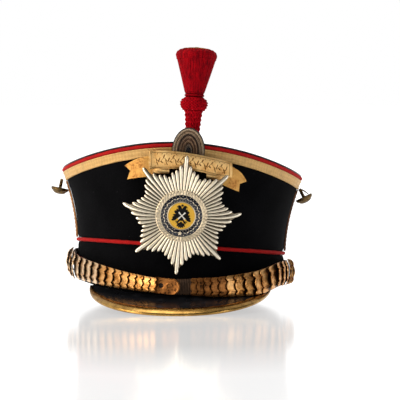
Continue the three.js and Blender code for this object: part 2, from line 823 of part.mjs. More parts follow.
// The pile on the front edge, from the lace outwards: cockade, scroll, then the star's upper tip
const laceFace = bandHalfLength + endFlare + pipingBulge + gap;
const cockadeHeight = topHeight(0) - cockadeLift;
const cockadeSlope = Math.tan(turn(cockadeLean));
const cockadeFace = laceFace - cockadeLift * cockadeSlope + gap;
const cockadeSeat = frontSeat(cockadeOffset, -cockadeFace, cockadeHeight, cockadeLean, 2);
piece("cockade", cockade(), finishes.bullion, cockadeSeat);

const scrollMiddle = topHeight(0) - scrollDrop;
const scrollSlope = Math.tan(turn(scrollLean));
const scrollFace = cockadeFace + scrollStand + gap - (cockadeHeight - scrollMiddle) * scrollSlope;
const scrollSeat = frontSeat(scrollOffset, -scrollFace, scrollMiddle, scrollLean, 0);
piece("scroll", scroll(), finishes.gilt, scrollSeat);

const tipHeight = starHeight + starRadius;
const tipFace = scrollFace + (tipHeight - scrollMiddle) * scrollSlope + tipStand + gap;
const starFace = tipFace - starRadius * Math.tan(turn(starLean));
const star = frontSeat(starOffset, -starFace, starHeight, starLean, starTurn);
const starDepth = (starFace + crownPoint(0, starHeight).y - 2 * gap) / Math.cos(turn(starLean));
const medallionBase = starPlate + rayHeight;
piece(
  "star_rays",
  join(
    starRays(),
    turned([[0, -starDepth], [postRadius, -starDepth], [postRadius, starPlate], [0, starPlate]], 10),
  ),
  finishes.silver,
  star,
);
const medallion = medallionBase + gap;
const wreathTop = medallion + medallionDepth;
const wreath = flange(wreathRadius, ringRadius + gap, medallion, wreathTop);
piece("star_wreath", wreath, finishes.silver, star);
const ringTop = medallion + medallionDepth * 0.8;
piece("star_ring", flange(ringRadius, discRadius + gap, medallion, ringTop), finishes.enamel, star);
const discTop = medallion + medallionDepth * 0.7;
const discSection = [[0, medallion], [discRadius, medallion], [discRadius, discTop], [0, discTop]];
piece("star_disc", turned(discSection), finishes.goldEnamel, star);
const discFace = discTop + gap;
piece("star_eagle", bird(discFace, discFace + 0.5), finishes.enamel, star);
piece("star_cross", saltire(discFace + 0.5 + gap, discFace + 0.9 + gap), finishes.whiteEnamel, star);

const plume = seat(
  vec(plumeOffset, -(bandHalfLength + endFlare - plumeInset), topHeight(0) + topThickness + gap),
  vec(1, 0, 0),
  vec(0, 1, 0),
  vec(0, 0, 1),
);
plume.rotateY(turn(plumeTurn));
piece("plume_stem", plumeStem(), finishes.redCord, plume);
piece("plume_knob", plumeKnob(), finishes.redCord, plume);
piece("plume_brush", plumeBrush(), finishes.redCord, plume);

const buttons = [
  { side: -1, word: "left", lean: leftButtonLean },
  { side: 1, word: "right", lean: rightButtonLean },
];
for (const { side, word, lean } of buttons) {
  const angle = (side * Math.PI) / 2;
  const height = topHeight(angle) - pipingHeight - laceHeight(angle) - buttonInset;
  const place = crownPoint(angle, height, buttonDrop * 0.66 + stripThickness + gap);
  place.z -= buttonDrop * 0.6;
  const group = seat(place, vec(1, 0, 0), vec(0, 1, 0), vec(0, 0, 1));
  group.rotateY(-side * turn(lean));
  piece("side_button_" + word, sideButton(), finishes.darkBrass, group);
}

const straps = [
  { word: "left", route: leftRoute, count: leftScales, to: 0.882 },
  { word: "right", route: rightRoute, count: rightScales, to: 0.887 },
];
for (const { word, route, count, to } of straps) {
  const line = strapLine(route);
  const from = (2 * bossRadius + 2) / line.length;
  piece("chin_strap_" + word, strapBacking(line), finishes.leather);
  const starts = scaleStarts(count, from, to);
  starts.forEach((start, i) => {
    const next = starts[i + 1] ?? to;
    const name = "scale_" + word + "_" + String(i + 1).padStart(2, "0");
    piece(name, scale(line, start, (next - start) * line.length), finishes.brass);
  });
  const end = line.at((bossRadius + 1) / line.length);
  const across = end.up.clone().cross(end.out);
  const boss = seat(end.place.clone().addScaledVector(end.out, gap), across, end.up, end.out);
  piece("chin_boss_" + word, chinBoss(), finishes.darkBrass, boss);
  if (word === "left") {
    const tip = line.at(to + 0.01);
    const group = seat(tip.place.clone().addScaledVector(tip.out, gap), tip.along, tip.up, tip.out);
    piece("chin_plate", chinPlate(), finishes.brass, group);
  }
}

// Rest: tilt back until the lowest points of front and back are level, then stand on the floor
function restTilt() {
  hat.updateMatrixWorld(true);
  const points = [];
  hat.traverse((mesh) => {
    if (!["lower_band", "peak", "peak_binding"].includes(mesh.name)) return;
    const place = mesh.geometry.attributes.position;
    for (let i = 0; i < place.count; i++)
      points.push(new THREE.Vector3().fromBufferAttribute(place, i));
  });
  const lowest = (angle, side) =>
    Math.min(
      ...points
        .filter((p) => p.y * side > 0)
        .map((p) => p.y * Math.sin(angle) + p.z * Math.cos(angle)),
    );
  let [low, high] = [turn(-20), 0];
  for (let i = 0; i < 40; i++) {
    const middle = (low + high) / 2;
    if (lowest(middle, -1) > lowest(middle, 1)) low = middle;
    else high = middle;
  }
  return (low + high) / 2;
}

hat.rotation.x = restTilt();
const model = new THREE.Group();
model.add(hat);
model.updateMatrixWorld(true);
const box = new THREE.Box3().setFromObject(model, true);
hat.position.set(-(box.min.x + box.max.x) / 2, -(box.min.y + box.max.y) / 2, -box.min.z);

export default model;
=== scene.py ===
# A military dress hat: black cloth crown, patent leather peak, brass chin scales, silver star, red plume.
# Lengths are in millimetres in the hat's own frame: x to the right, -y forward, z up from the head opening.
# toRoom() tilts the hat back and stands it on the table, in metres.
import json
import math
import bmesh
import bpy
import numpy as np
from mathutils import Matrix


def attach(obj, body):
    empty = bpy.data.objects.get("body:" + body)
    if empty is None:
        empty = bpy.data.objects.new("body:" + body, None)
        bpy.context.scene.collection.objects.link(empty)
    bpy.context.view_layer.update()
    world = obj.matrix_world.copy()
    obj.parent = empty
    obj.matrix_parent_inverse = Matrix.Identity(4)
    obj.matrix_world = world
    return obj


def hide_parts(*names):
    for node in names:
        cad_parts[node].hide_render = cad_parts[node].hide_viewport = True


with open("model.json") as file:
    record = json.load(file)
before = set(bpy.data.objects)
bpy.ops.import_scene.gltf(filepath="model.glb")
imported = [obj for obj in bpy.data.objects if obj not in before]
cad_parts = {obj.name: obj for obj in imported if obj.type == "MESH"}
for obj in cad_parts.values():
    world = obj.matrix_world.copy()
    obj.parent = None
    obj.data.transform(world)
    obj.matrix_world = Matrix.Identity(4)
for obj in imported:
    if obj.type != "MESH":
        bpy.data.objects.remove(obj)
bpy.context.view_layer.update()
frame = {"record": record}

mouth = next(m for m in frame["record"]["mounts"] if m["name"] == "head_mouth")
hatUp = -np.array(mouth["axis"], float)
hatUp /= np.linalg.norm(hatUp)
hatRight = np.array([1.0, 0.0, 0.0])
hatAxes = np.stack([hatRight, np.cross(hatUp, hatRight), hatUp])
hatOrigin = np.array(mouth["pos_m"], float)
pi = math.pi
gap = 0.3  # clearance between pieces that touch


def toRoom(points):
    # origin of the hat plus its three axes times x, y and z
    return hatOrigin + np.asarray(points) / 1000 @ hatAxes


def vectors(x, y, z):
    # three arrays of numbers as one array of points
    return np.stack(np.broadcast_arrays(np.asarray(x, float), y, z), -1)


def unit(v):
    # each vector divided by its length
    return v / np.linalg.norm(v, axis=-1, keepdims=True)


def around(count):
    # angles round the head, from the front to the right
    return np.arange(count) * 2 * pi / count


def bump(x, centre, width):
    # a soft hump: e to the minus of the squared distance in widths
    return np.exp(-(((x - centre) / width) ** 2))


def easing(x, low, high):
    # 0 below low, 1 above high, and 3s^2 - 2s^3 between them
    s = np.clip((x - low) / (high - low), 0, 1)
    return s * s * (3 - 2 * s)


def measured(grids, wrap):
    # lengths in millimetres along the rows and the columns, averaged over each grid
    def run(axis):
        ring = np.concatenate([grids, np.take(grids, [0], axis)], axis) if wrap[axis - 1] else grids
        steps = np.linalg.norm(np.diff(ring, axis=axis), axis=-1).mean(axis=3 - axis)
        return np.concatenate([np.zeros((len(grids), 1)), np.cumsum(steps, 1)], 1)

    return vectors(run(1)[:, :, None], run(2)[:, None, :], 0)[..., :2]


def patch(points, wrap=(False, False), finish=0, uv=None):
    # squares between the neighbours of a grid of points, or of many grids of one size
    points = np.asarray(points, float)
    grids = points.reshape(-1, *points.shape[-3:])
    many, rows, columns, _ = grids.shape
    i, j = np.meshgrid(np.arange(rows - (not wrap[0])), np.arange(columns - (not wrap[1])), indexing="ij")
    corners = [(0, 0), (1, 0), (1, 1), (0, 1)]
    quads = np.stack([(i + a) % rows * columns + (j + b) % columns for a, b in corners], -1)
    faces = quads.reshape(1, -1, 4) + np.arange(many)[:, None, None] * rows * columns
    uv = measured(grids, wrap) if uv is None else np.broadcast_to(uv, (many, *uv.shape[-3:]))
    loops = np.stack([uv[:, i + a, j + b] for a, b in corners], -2)
    finishes = np.broadcast_to(finish, (many, *i.shape))
    return {"points": grids.reshape(-1, 3), "faces": faces.reshape(-1, 4), "uv": loops.reshape(-1, 2),
            "finish": finishes.reshape(-1)}


def capped(grid):
    # a tube of rings, each end closed by a last ring drawn in to its own middle
    ends = [np.broadcast_to(grid[..., k, :, :].mean(-2, keepdims=True), grid[..., k, :, :].shape)
            for k in (0, -1)]
    return np.concatenate([ends[0][..., None, :, :], grid, ends[1][..., None, :, :]], -3)


def tube(path, radius, sides=10, across=(0, 0, 1), flat=1.0):
    # rings about a path: centre + radius (cos b side + flat sin b lift), side = direction x across
    path = np.asarray(path, float)
    direction = unit(np.gradient(path, axis=0))
    side = unit(np.cross(direction, np.asarray(across, float)))
    lift = np.cross(side, direction)
    b = around(sides)[None, :, None]
    radius = np.broadcast_to(radius, len(path))[:, None, None]
    return path[:, None] + radius * (np.cos(b) * side[:, None] + flat * np.sin(b) * lift[:, None])


def pebbles(centres, longAxes, sideAxes, outAxes, point=1.0, rows=9, sides=8):
    # closed seeds: c + L cos a + (S cos b + O sin b) (sin a)^point, pointed where point is above 1
    a = np.linspace(0, pi, rows)[None, :, None, None]
    b = around(sides)[None, None, :, None]
    c, l, s, o = (np.broadcast_to(np.asarray(v, float), np.shape(centres))[:, None, None]
                  for v in (centres, longAxes, sideAxes, outAxes))
    return c + l * np.cos(a) + (s * np.cos(b) + o * np.sin(b)) * np.maximum(np.sin(a), 0) ** point


def flatLeaves(x, y, angle, length, width, height, base, point=1.3):
    # pebbles that lie in the x, y plane, turned by angle from +y towards +x
    x, y, angle, length, width, height, base = np.broadcast_arrays(
        np.asarray(x, float), y, angle, length, width, height, base)
    return pebbles(vectors(x, y, base), vectors(np.sin(angle), np.cos(angle), 0) * length[:, None] / 2,
                   vectors(np.cos(angle), -np.sin(angle), 0) * width[:, None] / 2,
                   vectors(0, 0, height), point)


def lathe(radius, height, count):
    # a profile of radii and heights turned about z: (r cos a, r sin a, h)
    a = around(count)[:, None]
    return vectors(np.asarray(radius) * np.cos(a), np.asarray(radius) * np.sin(a), height)


def seated(origin, alongAxis, upAxis, outAxis):
    # carries x, y, z of a small piece to origin + x along + y up + z out
    axes = np.stack([alongAxis, upAxis, outAxis])
    return lambda points: np.asarray(origin) + np.asarray(points) @ axes


def frontSeat(x, y, height, lean, clockwise):
    # a seat on the front of the crown that leans forward and is turned clockwise, both in degrees
    lean, turn = math.radians(lean), math.radians(clockwise)
    up = np.array([0, -math.sin(lean), math.cos(lean)])
    out = np.array([0, -math.cos(lean), -math.sin(lean)])
    along = np.array([1.0, 0, 0])
    return seated((x, y, height), along * math.cos(turn) - up * math.sin(turn),
                  along * math.sin(turn) + up * math.cos(turn), out)


def moved(forms, seat):
    # the same forms, with every point carried to the seat
    return [{**form, "points": seat(form["points"])} for form in forms]


def makePiece(name, patches, finishes, replaced=(), crease=38):
    # one object from its patches: points welded at poles and seams, faces turned outwards
    starts = np.cumsum([0] + [len(p["points"]) for p in patches[:-1]])
    mesh = bpy.data.meshes.new(name)
    mesh.from_pydata(toRoom(np.concatenate([p["points"] for p in patches])).tolist(), [],
                     np.concatenate([p["faces"] + s for p, s in zip(patches, starts)]).tolist())
    mesh.uv_layers.new(name="millimetres").data.foreach_set(
        "uv", np.concatenate([p["uv"] for p in patches]).ravel())
    mesh.polygons.foreach_set("material_index", np.concatenate([p["finish"] for p in patches]))
    for material in finishes:
        mesh.materials.append(material)
    work = bmesh.new()
    work.from_mesh(mesh)
    bmesh.ops.remove_doubles(work, verts=work.verts, dist=1e-6)
    bmesh.ops.recalc_face_normals(work, faces=work.faces)
    work.to_mesh(mesh)
    work.free()
    mesh.shade_smooth()
    mesh.set_sharp_from_angle(angle=math.radians(crease))
    piece = bpy.data.objects.new(name, mesh)
    bpy.context.scene.collection.objects.link(piece)
    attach(piece, "root")
    if replaced:
        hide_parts(*replaced)
    return piece


def linear(code):
    # an sRGB hex colour as linear red, green, blue and a full alpha
    parts = [int(code[k:k + 2], 16) / 255 for k in (1, 3, 5)]
    return tuple(c / 12.92 if c <= 0.04045 else ((c + 0.055) / 1.055) ** 2.4 for c in parts) + (1.0,)


def perMetre(millimetres):
    # texture scale for a feature of that size on Object coordinates, which are in metres
    return 1000 / millimetres


def feed(node, inputs):
    # each input gets a value, a socket that feeds it, or another node's main output
    for name, value in inputs.items():
        if isinstance(value, bpy.types.Node):
            value = value.outputs[2 if value.bl_idname == "ShaderNodeMix" else 0]
        if isinstance(value, bpy.types.NodeSocket):
            node.id_data.links.new(value, node.inputs[name])
        else:
            node.inputs[name].default_value = value


def addNode(tree, kind, inputs=None, **settings):
    # one shader node with its settings and inputs; a mix is of colours unless said otherwise
    node = tree.nodes.new("ShaderNode" + kind)
    if kind == "Mix":
        node.data_type = "RGBA"
    for name, value in settings.items():
        setattr(node, name, value)
    feed(node, inputs or {})
    return node


def newFinish(name, colour, roughness, metallic=0.0, **sockets):
    # a material whose even values sit on the shader's own sockets
    material = bpy.data.materials.new(name)
    material.use_nodes = True
    shader = material.node_tree.nodes["Principled BSDF"]
    feed(shader, {"Base Color": linear(colour), "Roughness": roughness, "Metallic": metallic})
    feed(shader, {socket.replace("_", " "): value for socket, value in sockets.items()})
    return material, material.node_tree, shader


# Materials

def blackWool():
    # milled wool broadcloth: a dull nap with soft cloudy wear and a faint pale sheen at grazing angles
    material, tree, shader = newFinish(
        "black wool broadcloth", "#0c0c0e", 0.92, Sheen_Weight=0.02, Sheen_Roughness=0.4,
        Sheen_Tint=linear("#8a8c96"), Specular_IOR_Level=0.04)
    place = addNode(tree, "TexCoord").outputs["Object"]
    nap = addNode(tree, "TexNoise", {"Vector": place, "Scale": perMetre(1.1), "Detail": 5.0,
                                     "Roughness": 0.7})
    cloud = addNode(tree, "TexNoise", {"Vector": place, "Scale": perMetre(34), "Detail": 3.0})
    both = addNode(tree, "Math", {0: nap, 1: cloud}, operation="MULTIPLY")
    worn = addNode(tree, "MapRange", {"Value": both, "From Min": 0.16, "From Max": 0.42})
    tone = addNode(tree, "Mix", {0: worn, 6: linear("#030304"), 7: linear("#0b0b0d")})
    lint = addNode(tree, "TexVoronoi", {"Vector": place, "Scale": perMetre(7)})
    speck = addNode(tree, "MapRange", {"Value": lint.outputs["Distance"], "From Min": 0.05,
                                       "From Max": 0.03})
    dusty = addNode(tree, "Mix", {0: speck, 6: tone, 7: linear("#313033")})
    fuzz = addNode(tree, "Bump", {"Height": nap, "Strength": 0.35, "Distance": 0.0005})
    feed(shader, {"Base Color": dusty, "Normal": fuzz})
    return material


def redPipingCloth():
    # scarlet wool cut on the bias and sewn over cord: slanting twill lines and darker handled patches
    material, tree, shader = newFinish(
        "scarlet wool piping", "#c61a1e", 0.8, Sheen_Weight=0.08, Sheen_Tint=linear("#ff7a68"),
        Specular_IOR_Level=0.1)
    texture = addNode(tree, "TexCoord")
    twill = addNode(tree, "TexWave", {"Vector": texture.outputs["UV"], "Scale": 0.42, "Distortion": 1.2,
                                      "Detail": 2.0}, bands_direction="DIAGONAL")  # 1.2 mm, coarse to show
    worn = addNode(tree, "TexNoise", {"Vector": texture.outputs["Object"], "Scale": perMetre(9),
                                      "Detail": 4.0})
    tone = addNode(tree, "Mix", {0: worn, 6: linear("#9a0f14"), 7: linear("#cc1e1a")})
    line = addNode(tree, "Mix", {0: 0.28, 6: tone, 7: twill}, blend_type="MULTIPLY")
    weave = addNode(tree, "Bump", {"Height": twill.outputs[1], "Strength": 0.3, "Distance": 0.0003})
    feed(shader, {"Base Color": line, "Normal": weave})
    return material


def goldLace():
    # flat gold thread woven in small lozenges between corded edges, tarnished a little in its grooves
    material, tree, shader = newFinish("woven gold lace", "#d9b064", 0.5, 0.3)
    texture = addNode(tree, "TexCoord")
    thread = addNode(tree, "TexWave", {"Vector": texture.outputs["UV"], "Scale": 0.36, "Distortion": 0.6,
                                       "Detail": 1.0})  # 1.4 mm threads, coarser than real to show
    leanTo = addNode(tree, "Mapping", {"Vector": texture.outputs["UV"], "Rotation": (0, 0, pi / 4)})
    lozenge = addNode(tree, "TexChecker", {"Vector": leanTo, "Scale": 0.47})
    grime = addNode(tree, "TexNoise", {"Vector": texture.outputs["Object"], "Scale": perMetre(5),
                                       "Detail": 5.0})
    pattern = addNode(tree, "Mix", {0: 0.35, 6: thread, 7: lozenge})
    tone = addNode(tree, "Mix", {0: pattern, 6: linear("#b5833f"), 7: linear("#eac27a")})
    old = addNode(tree, "MapRange", {"Value": grime, "From Min": 0.5, "From Max": 0.75, "To Max": 0.4})
    worn = addNode(tree, "Mix", {0: old, 6: tone, 7: linear("#8d6b39")})
    relief = addNode(tree, "Bump", {"Height": pattern, "Strength": 0.4, "Distance": 0.0004})
    feed(shader, {"Base Color": worn, "Normal": relief})
    return material


def patentLeather():
    # japanned leather: a hard black varnish, mirror bright with hairline crackle, dust and rubbed patches
    material, tree, shader = newFinish("black patent leather", "#050506", 0.4, Coat_Weight=0.15,
                                       Coat_Roughness=0.28, Specular_IOR_Level=0.25)
    place = addNode(tree, "TexCoord").outputs["Object"]
    rub = addNode(tree, "TexNoise", {"Vector": place, "Scale": perMetre(14), "Detail": 6.0,
                                     "Roughness": 0.6})
    matt = addNode(tree, "MapRange", {"Value": rub, "From Min": 0.35, "From Max": 0.75,
                                      "To Min": 0.24, "To Max": 0.42})
    crackle = addNode(tree, "TexVoronoi", {"Vector": place, "Scale": perMetre(3.4)},
                      feature="DISTANCE_TO_EDGE")
    crack = addNode(tree, "MapRange", {"Value": crackle, "From Max": 0.06})
    dust = addNode(tree, "MapRange", {"Value": rub, "From Min": 0.55, "From Max": 0.8})
    # painted sheen: the black is lifted to a grey-blue that stands in for a soft highlight; the paler
    # patches are dust
    tone = addNode(tree, "Mix", {0: dust, 6: linear("#16171b"), 7: linear("#42434b")})
    skin = addNode(tree, "Bump", {"Height": crack, "Strength": 0.12, "Distance": 0.0002})
    uneven = addNode(tree, "Bump", {"Height": rub, "Strength": 0.1, "Distance": 0.002, "Normal": skin})
    feed(shader, {"Base Color": tone, "Roughness": matt, "Normal": uneven})
    return material


def vegetableLeather(name, deep, pale, grain, roughness):
    # oak tanned cowhide: pebbled grain of the given size, paler where it is rubbed
    material, tree, shader = newFinish(name, deep, roughness, Specular_IOR_Level=0.4)
    place = addNode(tree, "TexCoord").outputs["Object"]
    pores = addNode(tree, "TexVoronoi", {"Vector": place, "Scale": perMetre(grain)})
    rub = addNode(tree, "TexNoise", {"Vector": place, "Scale": perMetre(7), "Detail": 6.0,
                                     "Roughness": 0.65})
    wear = addNode(tree, "MapRange", {"Value": rub, "From Min": 0.35, "From Max": 0.7})
    tone = addNode(tree, "Mix", {0: wear, 6: linear(deep), 7: linear(pale)})
    skin = addNode(tree, "Bump", {"Height": pores, "Strength": 0.4, "Distance": 0.0003})
    feed(shader, {"Base Color": tone, "Normal": skin})
    return material


def rolledBrass(name, bright, middle, tarnish, spread, roughness, recessShade=0.0, wear=1.0):
    # sheet brass, cold rolled and long handled: fine lines from rolling and brown tarnish in clouds; spread
    # softens the clouds, wear deepens pits and dents, and a shade strength paints shade under the scale
    # above
    material, tree, shader = newFinish(name, bright, roughness, 1.0)
    place = addNode(tree, "TexCoord").outputs["Object"]
    stretch = addNode(tree, "Mapping", {"Vector": place, "Scale": (1.0, 1.0, 7.0)})
    lines = addNode(tree, "TexNoise", {"Vector": stretch, "Scale": perMetre(4), "Detail": 6.0,
                                       "Roughness": 0.7})
    cloud = addNode(tree, "TexNoise", {"Vector": place, "Scale": perMetre(8), "Detail": 7.0,
                                       "Roughness": 0.62})
    shade = addNode(tree, "MapRange", {"Value": cloud, "From Min": 0.5 - spread, "From Max": 0.5 + spread})
    tone = addNode(tree, "Mix", {0: shade, 6: linear(bright), 7: linear(middle)})
    pits = addNode(tree, "TexNoise", {"Vector": place, "Scale": perMetre(1.6), "Detail": 4.0})
    both = addNode(tree, "Math", {0: pits, 1: cloud}, operation="MULTIPLY")
    spot = addNode(tree, "MapRange", {"Value": both, "From Min": 0.27, "From Max": 0.38, "To Max": wear})
    aged = addNode(tree, "Mix", {0: spot, 6: tone, 7: linear(tarnish)})
    beside = addNode(tree, "SeparateXYZ", {0: addNode(tree, "TexCoord").outputs["UV"]})
    grime = addNode(tree, "MapRange", {"Value": beside.outputs[1], "From Min": 9.35, "From Max": 9.95,
                                       "To Max": recessShade})  # painted shade: darkened where the free end of the scale above overhangs
    recessShaded = addNode(tree, "Mix", {0: grime, 6: aged, 7: linear("#120b06")})
    dull = addNode(tree, "MapRange", {"Value": lines, "From Min": 0.3, "From Max": 0.75,
                                      "To Min": roughness * 0.75, "To Max": roughness * 1.5})
    dents = addNode(tree, "Bump", {"Height": cloud, "Strength": 0.25 * wear, "Distance": 0.0012})
    brushed = addNode(tree, "Bump", {"Height": lines, "Strength": 0.12, "Distance": 0.0003, "Normal": dents})
    feed(shader, {"Base Color": recessShaded, "Roughness": dull, "Normal": brushed})
    return material


def burnishedSilver(name, bright, groove, fromShare):
    # cast and burnished silver: bright crests, grey-brown tarnish low down, from fromShare of v outwards
    material, tree, shader = newFinish(name, bright, 0.3, 1.0)
    texture = addNode(tree, "TexCoord")
    across = addNode(tree, "SeparateXYZ", {0: texture.outputs["UV"]})
    far = addNode(tree, "Math", {0: across.outputs[1]}, operation="ABSOLUTE")
    speckle = addNode(tree, "TexNoise", {"Vector": texture.outputs["Object"], "Scale": perMetre(1.8),
                                         "Detail": 5.0})
    edge = addNode(tree, "Math", {0: speckle, 1: 0.5, 2: far}, operation="MULTIPLY_ADD")
    low = addNode(tree, "MapRange", {"Value": edge, "From Min": fromShare, "From Max": fromShare + 0.45})
    tone = addNode(tree, "Mix", {0: low, 6: linear(bright), 7: linear(groove)})
    dull = addNode(tree, "MapRange", {"Value": speckle, "To Min": 0.2, "To Max": 0.45})
    soft = addNode(tree, "Bump", {"Height": speckle, "Strength": 0.15, "Distance": 0.0003})
    feed(shader, {"Base Color": tone, "Roughness": dull, "Normal": soft})
    return material


def firedEnamel(name, colour, second, gloss=0.7):
    # glass enamel fired on metal: one strong colour with faint clouds; more gloss gives a clearer coat
    material, tree, shader = newFinish(name, colour, 0.6 - 0.6 * gloss, Coat_Weight=gloss,
                                       Coat_Roughness=0.05, Specular_IOR_Level=0.7 * gloss)
    place = addNode(tree, "TexCoord").outputs["Object"]
    cloud = addNode(tree, "TexNoise", {"Vector": place, "Scale": perMetre(2.2), "Detail": 4.0})
    tone = addNode(tree, "Mix", {0: cloud, 6: linear(colour), 7: linear(second)})
    orange = addNode(tree, "Bump", {"Height": cloud, "Strength": 0.1, "Distance": 0.0002})
    feed(shader, {"Base Color": tone, "Normal": orange})
    return material


def giltDisc():
    # gold foil under amber enamel: fine rays cut round the middle glow through the yellow
    material, tree, shader = newFinish("amber enamel on gold", "#f0b41e", 0.35, 0.15, Coat_Weight=0.3,
                                       Coat_Roughness=0.08)
    texture = addNode(tree, "TexCoord")
    rays = addNode(tree, "TexWave", {"Vector": texture.outputs["UV"], "Scale": 0.3, "Distortion": 0.4})
    tone = addNode(tree, "Mix", {0: rays, 6: linear("#e2a018"), 7: linear("#f8cc38")})
    cut = addNode(tree, "Bump", {"Height": rays.outputs[1], "Strength": 0.3, "Distance": 0.0002})
    feed(shader, {"Base Color": tone, "Normal": cut})
    return material


def bullionCord():
    # silver bullion wound over cord: pale at the rim, then brown and pale rings to a dark middle
    material, tree, shader = newFinish("silver bullion", "#a29a8c", 0.42, 0.65)
    texture = addNode(tree, "TexCoord")
    parts = addNode(tree, "SeparateXYZ", {0: texture.outputs["UV"]})
    ramp = addNode(tree, "ValToRGB", {0: parts.outputs[1]})
    stops = [(0.0, "#0d1120"), (0.15, "#1a1c26"), (0.19, "#8f8271"), (0.29, "#4a3023"), (0.36, "#a08466"),
             (0.46, "#5a3b2a"), (0.54, "#a0856a"), (0.63, "#4c3327"), (0.7, "#7b6d5d"), (0.76, "#a58d74"),
             (0.93, "#bcab93"), (0.98, "#2c2723")]
    ramp.color_ramp.elements.remove(ramp.color_ramp.elements[1])
    ramp.color_ramp.elements[0].color = linear(stops[0][1])
    for at, code in stops[1:]:
        ramp.color_ramp.elements.new(at).color = linear(code)
    wire = addNode(tree, "Math", {0: parts.outputs[0], 1: 2 * pi}, operation="MULTIPLY")
    coil = addNode(tree, "Math", {0: wire}, operation="SINE")
    dirt = addNode(tree, "TexNoise", {"Vector": texture.outputs["Object"], "Scale": perMetre(2),
                                      "Detail": 4.0})
    dark = addNode(tree, "MapRange", {"Value": coil, "From Min": -1.0, "To Min": 0.5})
    wound = addNode(tree, "Mix", {0: 1.0, 6: ramp, 7: dark}, blend_type="MULTIPLY")
    tone = addNode(tree, "Mix", {0: dirt, 6: wound, 7: linear("#4d4034")}, blend_type="SOFT_LIGHT")
    relief = addNode(tree, "Bump", {"Height": coil, "Strength": 0.5, "Distance": 0.0003})
    feed(shader, {"Base Color": tone, "Normal": relief})
    return material


def redWorsted(name, deep, bright, grain):
    # worsted yarn: many fine lengthwise threads, deep in the hollows and lighter where they catch light
    material, tree, shader = newFinish(name, bright, 0.75, Specular_IOR_Level=0.05)
    texture = addNode(tree, "TexCoord")
    pull = addNode(tree, "Mapping", {"Vector": texture.outputs["Object"], "Scale": (1.0, 1.0, grain)})
    threads = addNode(tree, "TexNoise", {"Vector": pull, "Scale": perMetre(1.6), "Detail": 3.0,
                                         "Roughness": 0.6})
    mask = addNode(tree, "MapRange", {"Value": threads, "From Min": 0.3, "From Max": 0.72})
    tone = addNode(tree, "Mix", {0: mask, 6: linear(deep), 7: linear(bright)})
    relief = addNode(tree, "Bump", {"Height": threads, "Strength": 0.6, "Distance": 0.0006})
    feed(shader, {"Base Color": tone, "Normal": relief})
    return material


def polishedFloor():
    # white lacquered board under even studio light: a glowing white that mirrors softly; a painted shade
    # makes it a little dimmer in a pool between the peak and the camera
    material = bpy.data.materials.new("white lacquered board")
    material.use_nodes = True
    tree = material.node_tree
    tree.nodes.remove(tree.nodes["Principled BSDF"])
    place = addNode(tree, "TexCoord").outputs["Object"]
    haze = addNode(tree, "TexNoise", {"Vector": place, "Scale": perMetre(400), "Detail": 2.0})
    dull = addNode(tree, "MapRange", {"Value": haze, "To Min": 0.09, "To Max": 0.15})
    mirror = addNode(tree, "BsdfGlossy", {"Roughness": dull, "Color": (1, 1, 1, 1)})
    away = addNode(tree, "VectorMath", {0: place, 1: stageSize["shadePoolMiddle"]}, operation="DISTANCE")
    low, high = stageSize["shadePoolReach"]
    # painted shade: the glow is 1.2 close to the pool's middle and 1.8 beyond its reach
    bright = addNode(tree, "MapRange", {"Value": away.outputs["Value"], "From Min": low, "From Max": high,
                                        "To Min": 1.2, "To Max": 1.8})
    glow = addNode(tree, "Emission", {"Color": (1, 1, 1, 1), "Strength": bright})
    matt = addNode(tree, "BsdfDiffuse", {"Color": (0.22, 0.22, 0.22, 1)})
    body = addNode(tree, "AddShader", {0: glow, 1: matt})
    both = addNode(tree, "MixShader", {0: 0.55, 1: body, 2: mirror})
    feed(tree.nodes["Material Output"], {"Surface": both})
    return material


wool = blackWool()
scarlet = redPipingCloth()
lace = goldLace()
patent = patentLeather()
tanHide = vegetableLeather("tan saddle leather", "#94602f", "#d39a64", 1.0, 0.6)
# painted shade: the same saddle leather made darker for the right strip, which stands in shade
shadedTanHide = vegetableLeather("tan saddle leather in painted shade", "#3a2114", "#8a5632", 1.0, 0.66)
strapHide = vegetableLeather("dark strap leather", "#2b1b12", "#5d4a38", 1.2, 0.7)
liningHide = vegetableLeather("brown sweatband leather", "#3a2416", "#5b3d27", 1.4, 0.65)
# the value after roughness is the strength of the painted shade under each overlapping scale
brass = rolledBrass("aged rolled brass", "#ecb876", "#c78237", "#6b411d", 0.18, 0.36, 0.75)
# painted reflection: a paler copy of the brass for the left scales, which face the bright left side
paleBrass = rolledBrass("rolled brass painted pale with reflected light", "#f8ddb8", "#dcaa72", "#7a4d24", 0.2, 0.34, 0.65)
copperBrass = rolledBrass("heavily tarnished brass", "#b87a40", "#7a4a26", "#2b1c12", 0.2, 0.42, 0.9)
bindingBrass = rolledBrass("polished binding brass", "#c89e56", "#8d6731", "#463418", 0.26, 0.24, wear=0.2)
darkBrass = rolledBrass("blackened brass", "#7a6038", "#4a3a22", "#1b140c", 0.2, 0.4)
giltBrass = rolledBrass("fire gilt brass", "#fbd592", "#ecb266", "#ac7032", 0.22, 0.38, wear=0.5)
wornGilt = rolledBrass("worn gilt brass", "#cda058", "#a87139", "#66401f", 0.2, 0.45, wear=0.6)
engraving = rolledBrass("blackened engraving", "#8f6232", "#74502a", "#4a3018", 0.2, 0.6)
raySilver = burnishedSilver("burnished silver rays", "#fdf0d6", "#5c4f3e", 0.52)
plainSilver = burnishedSilver("cast silver", "#ecdcbe", "#74644e", 0.85)
navyEnamel = firedEnamel("blue-black enamel", "#0a0d17", "#151b2b")
blackEnamel = firedEnamel("black enamel", "#060607", "#100e0c", 0.1)
whiteEnamel = firedEnamel("white enamel", "#f6f3ea", "#d9d2c2")
amber = giltDisc()
bullion = bullionCord()
brushYarn = redWorsted("scarlet worsted threads", "#60000a", "#ac0210", 0.1)
knotYarn = redWorsted("scarlet knotted worsted", "#70000a", "#c00416", 0.8)
strawYarn = redWorsted("straw yellow worsted", "#5e3a12", "#c39a4a", 0.8)
waxedThread = vegetableLeather("waxed linen thread", "#3d2b1e", "#6b4f38", 0.8, 0.75)
print("materials ready")

# The head: ovals and heights

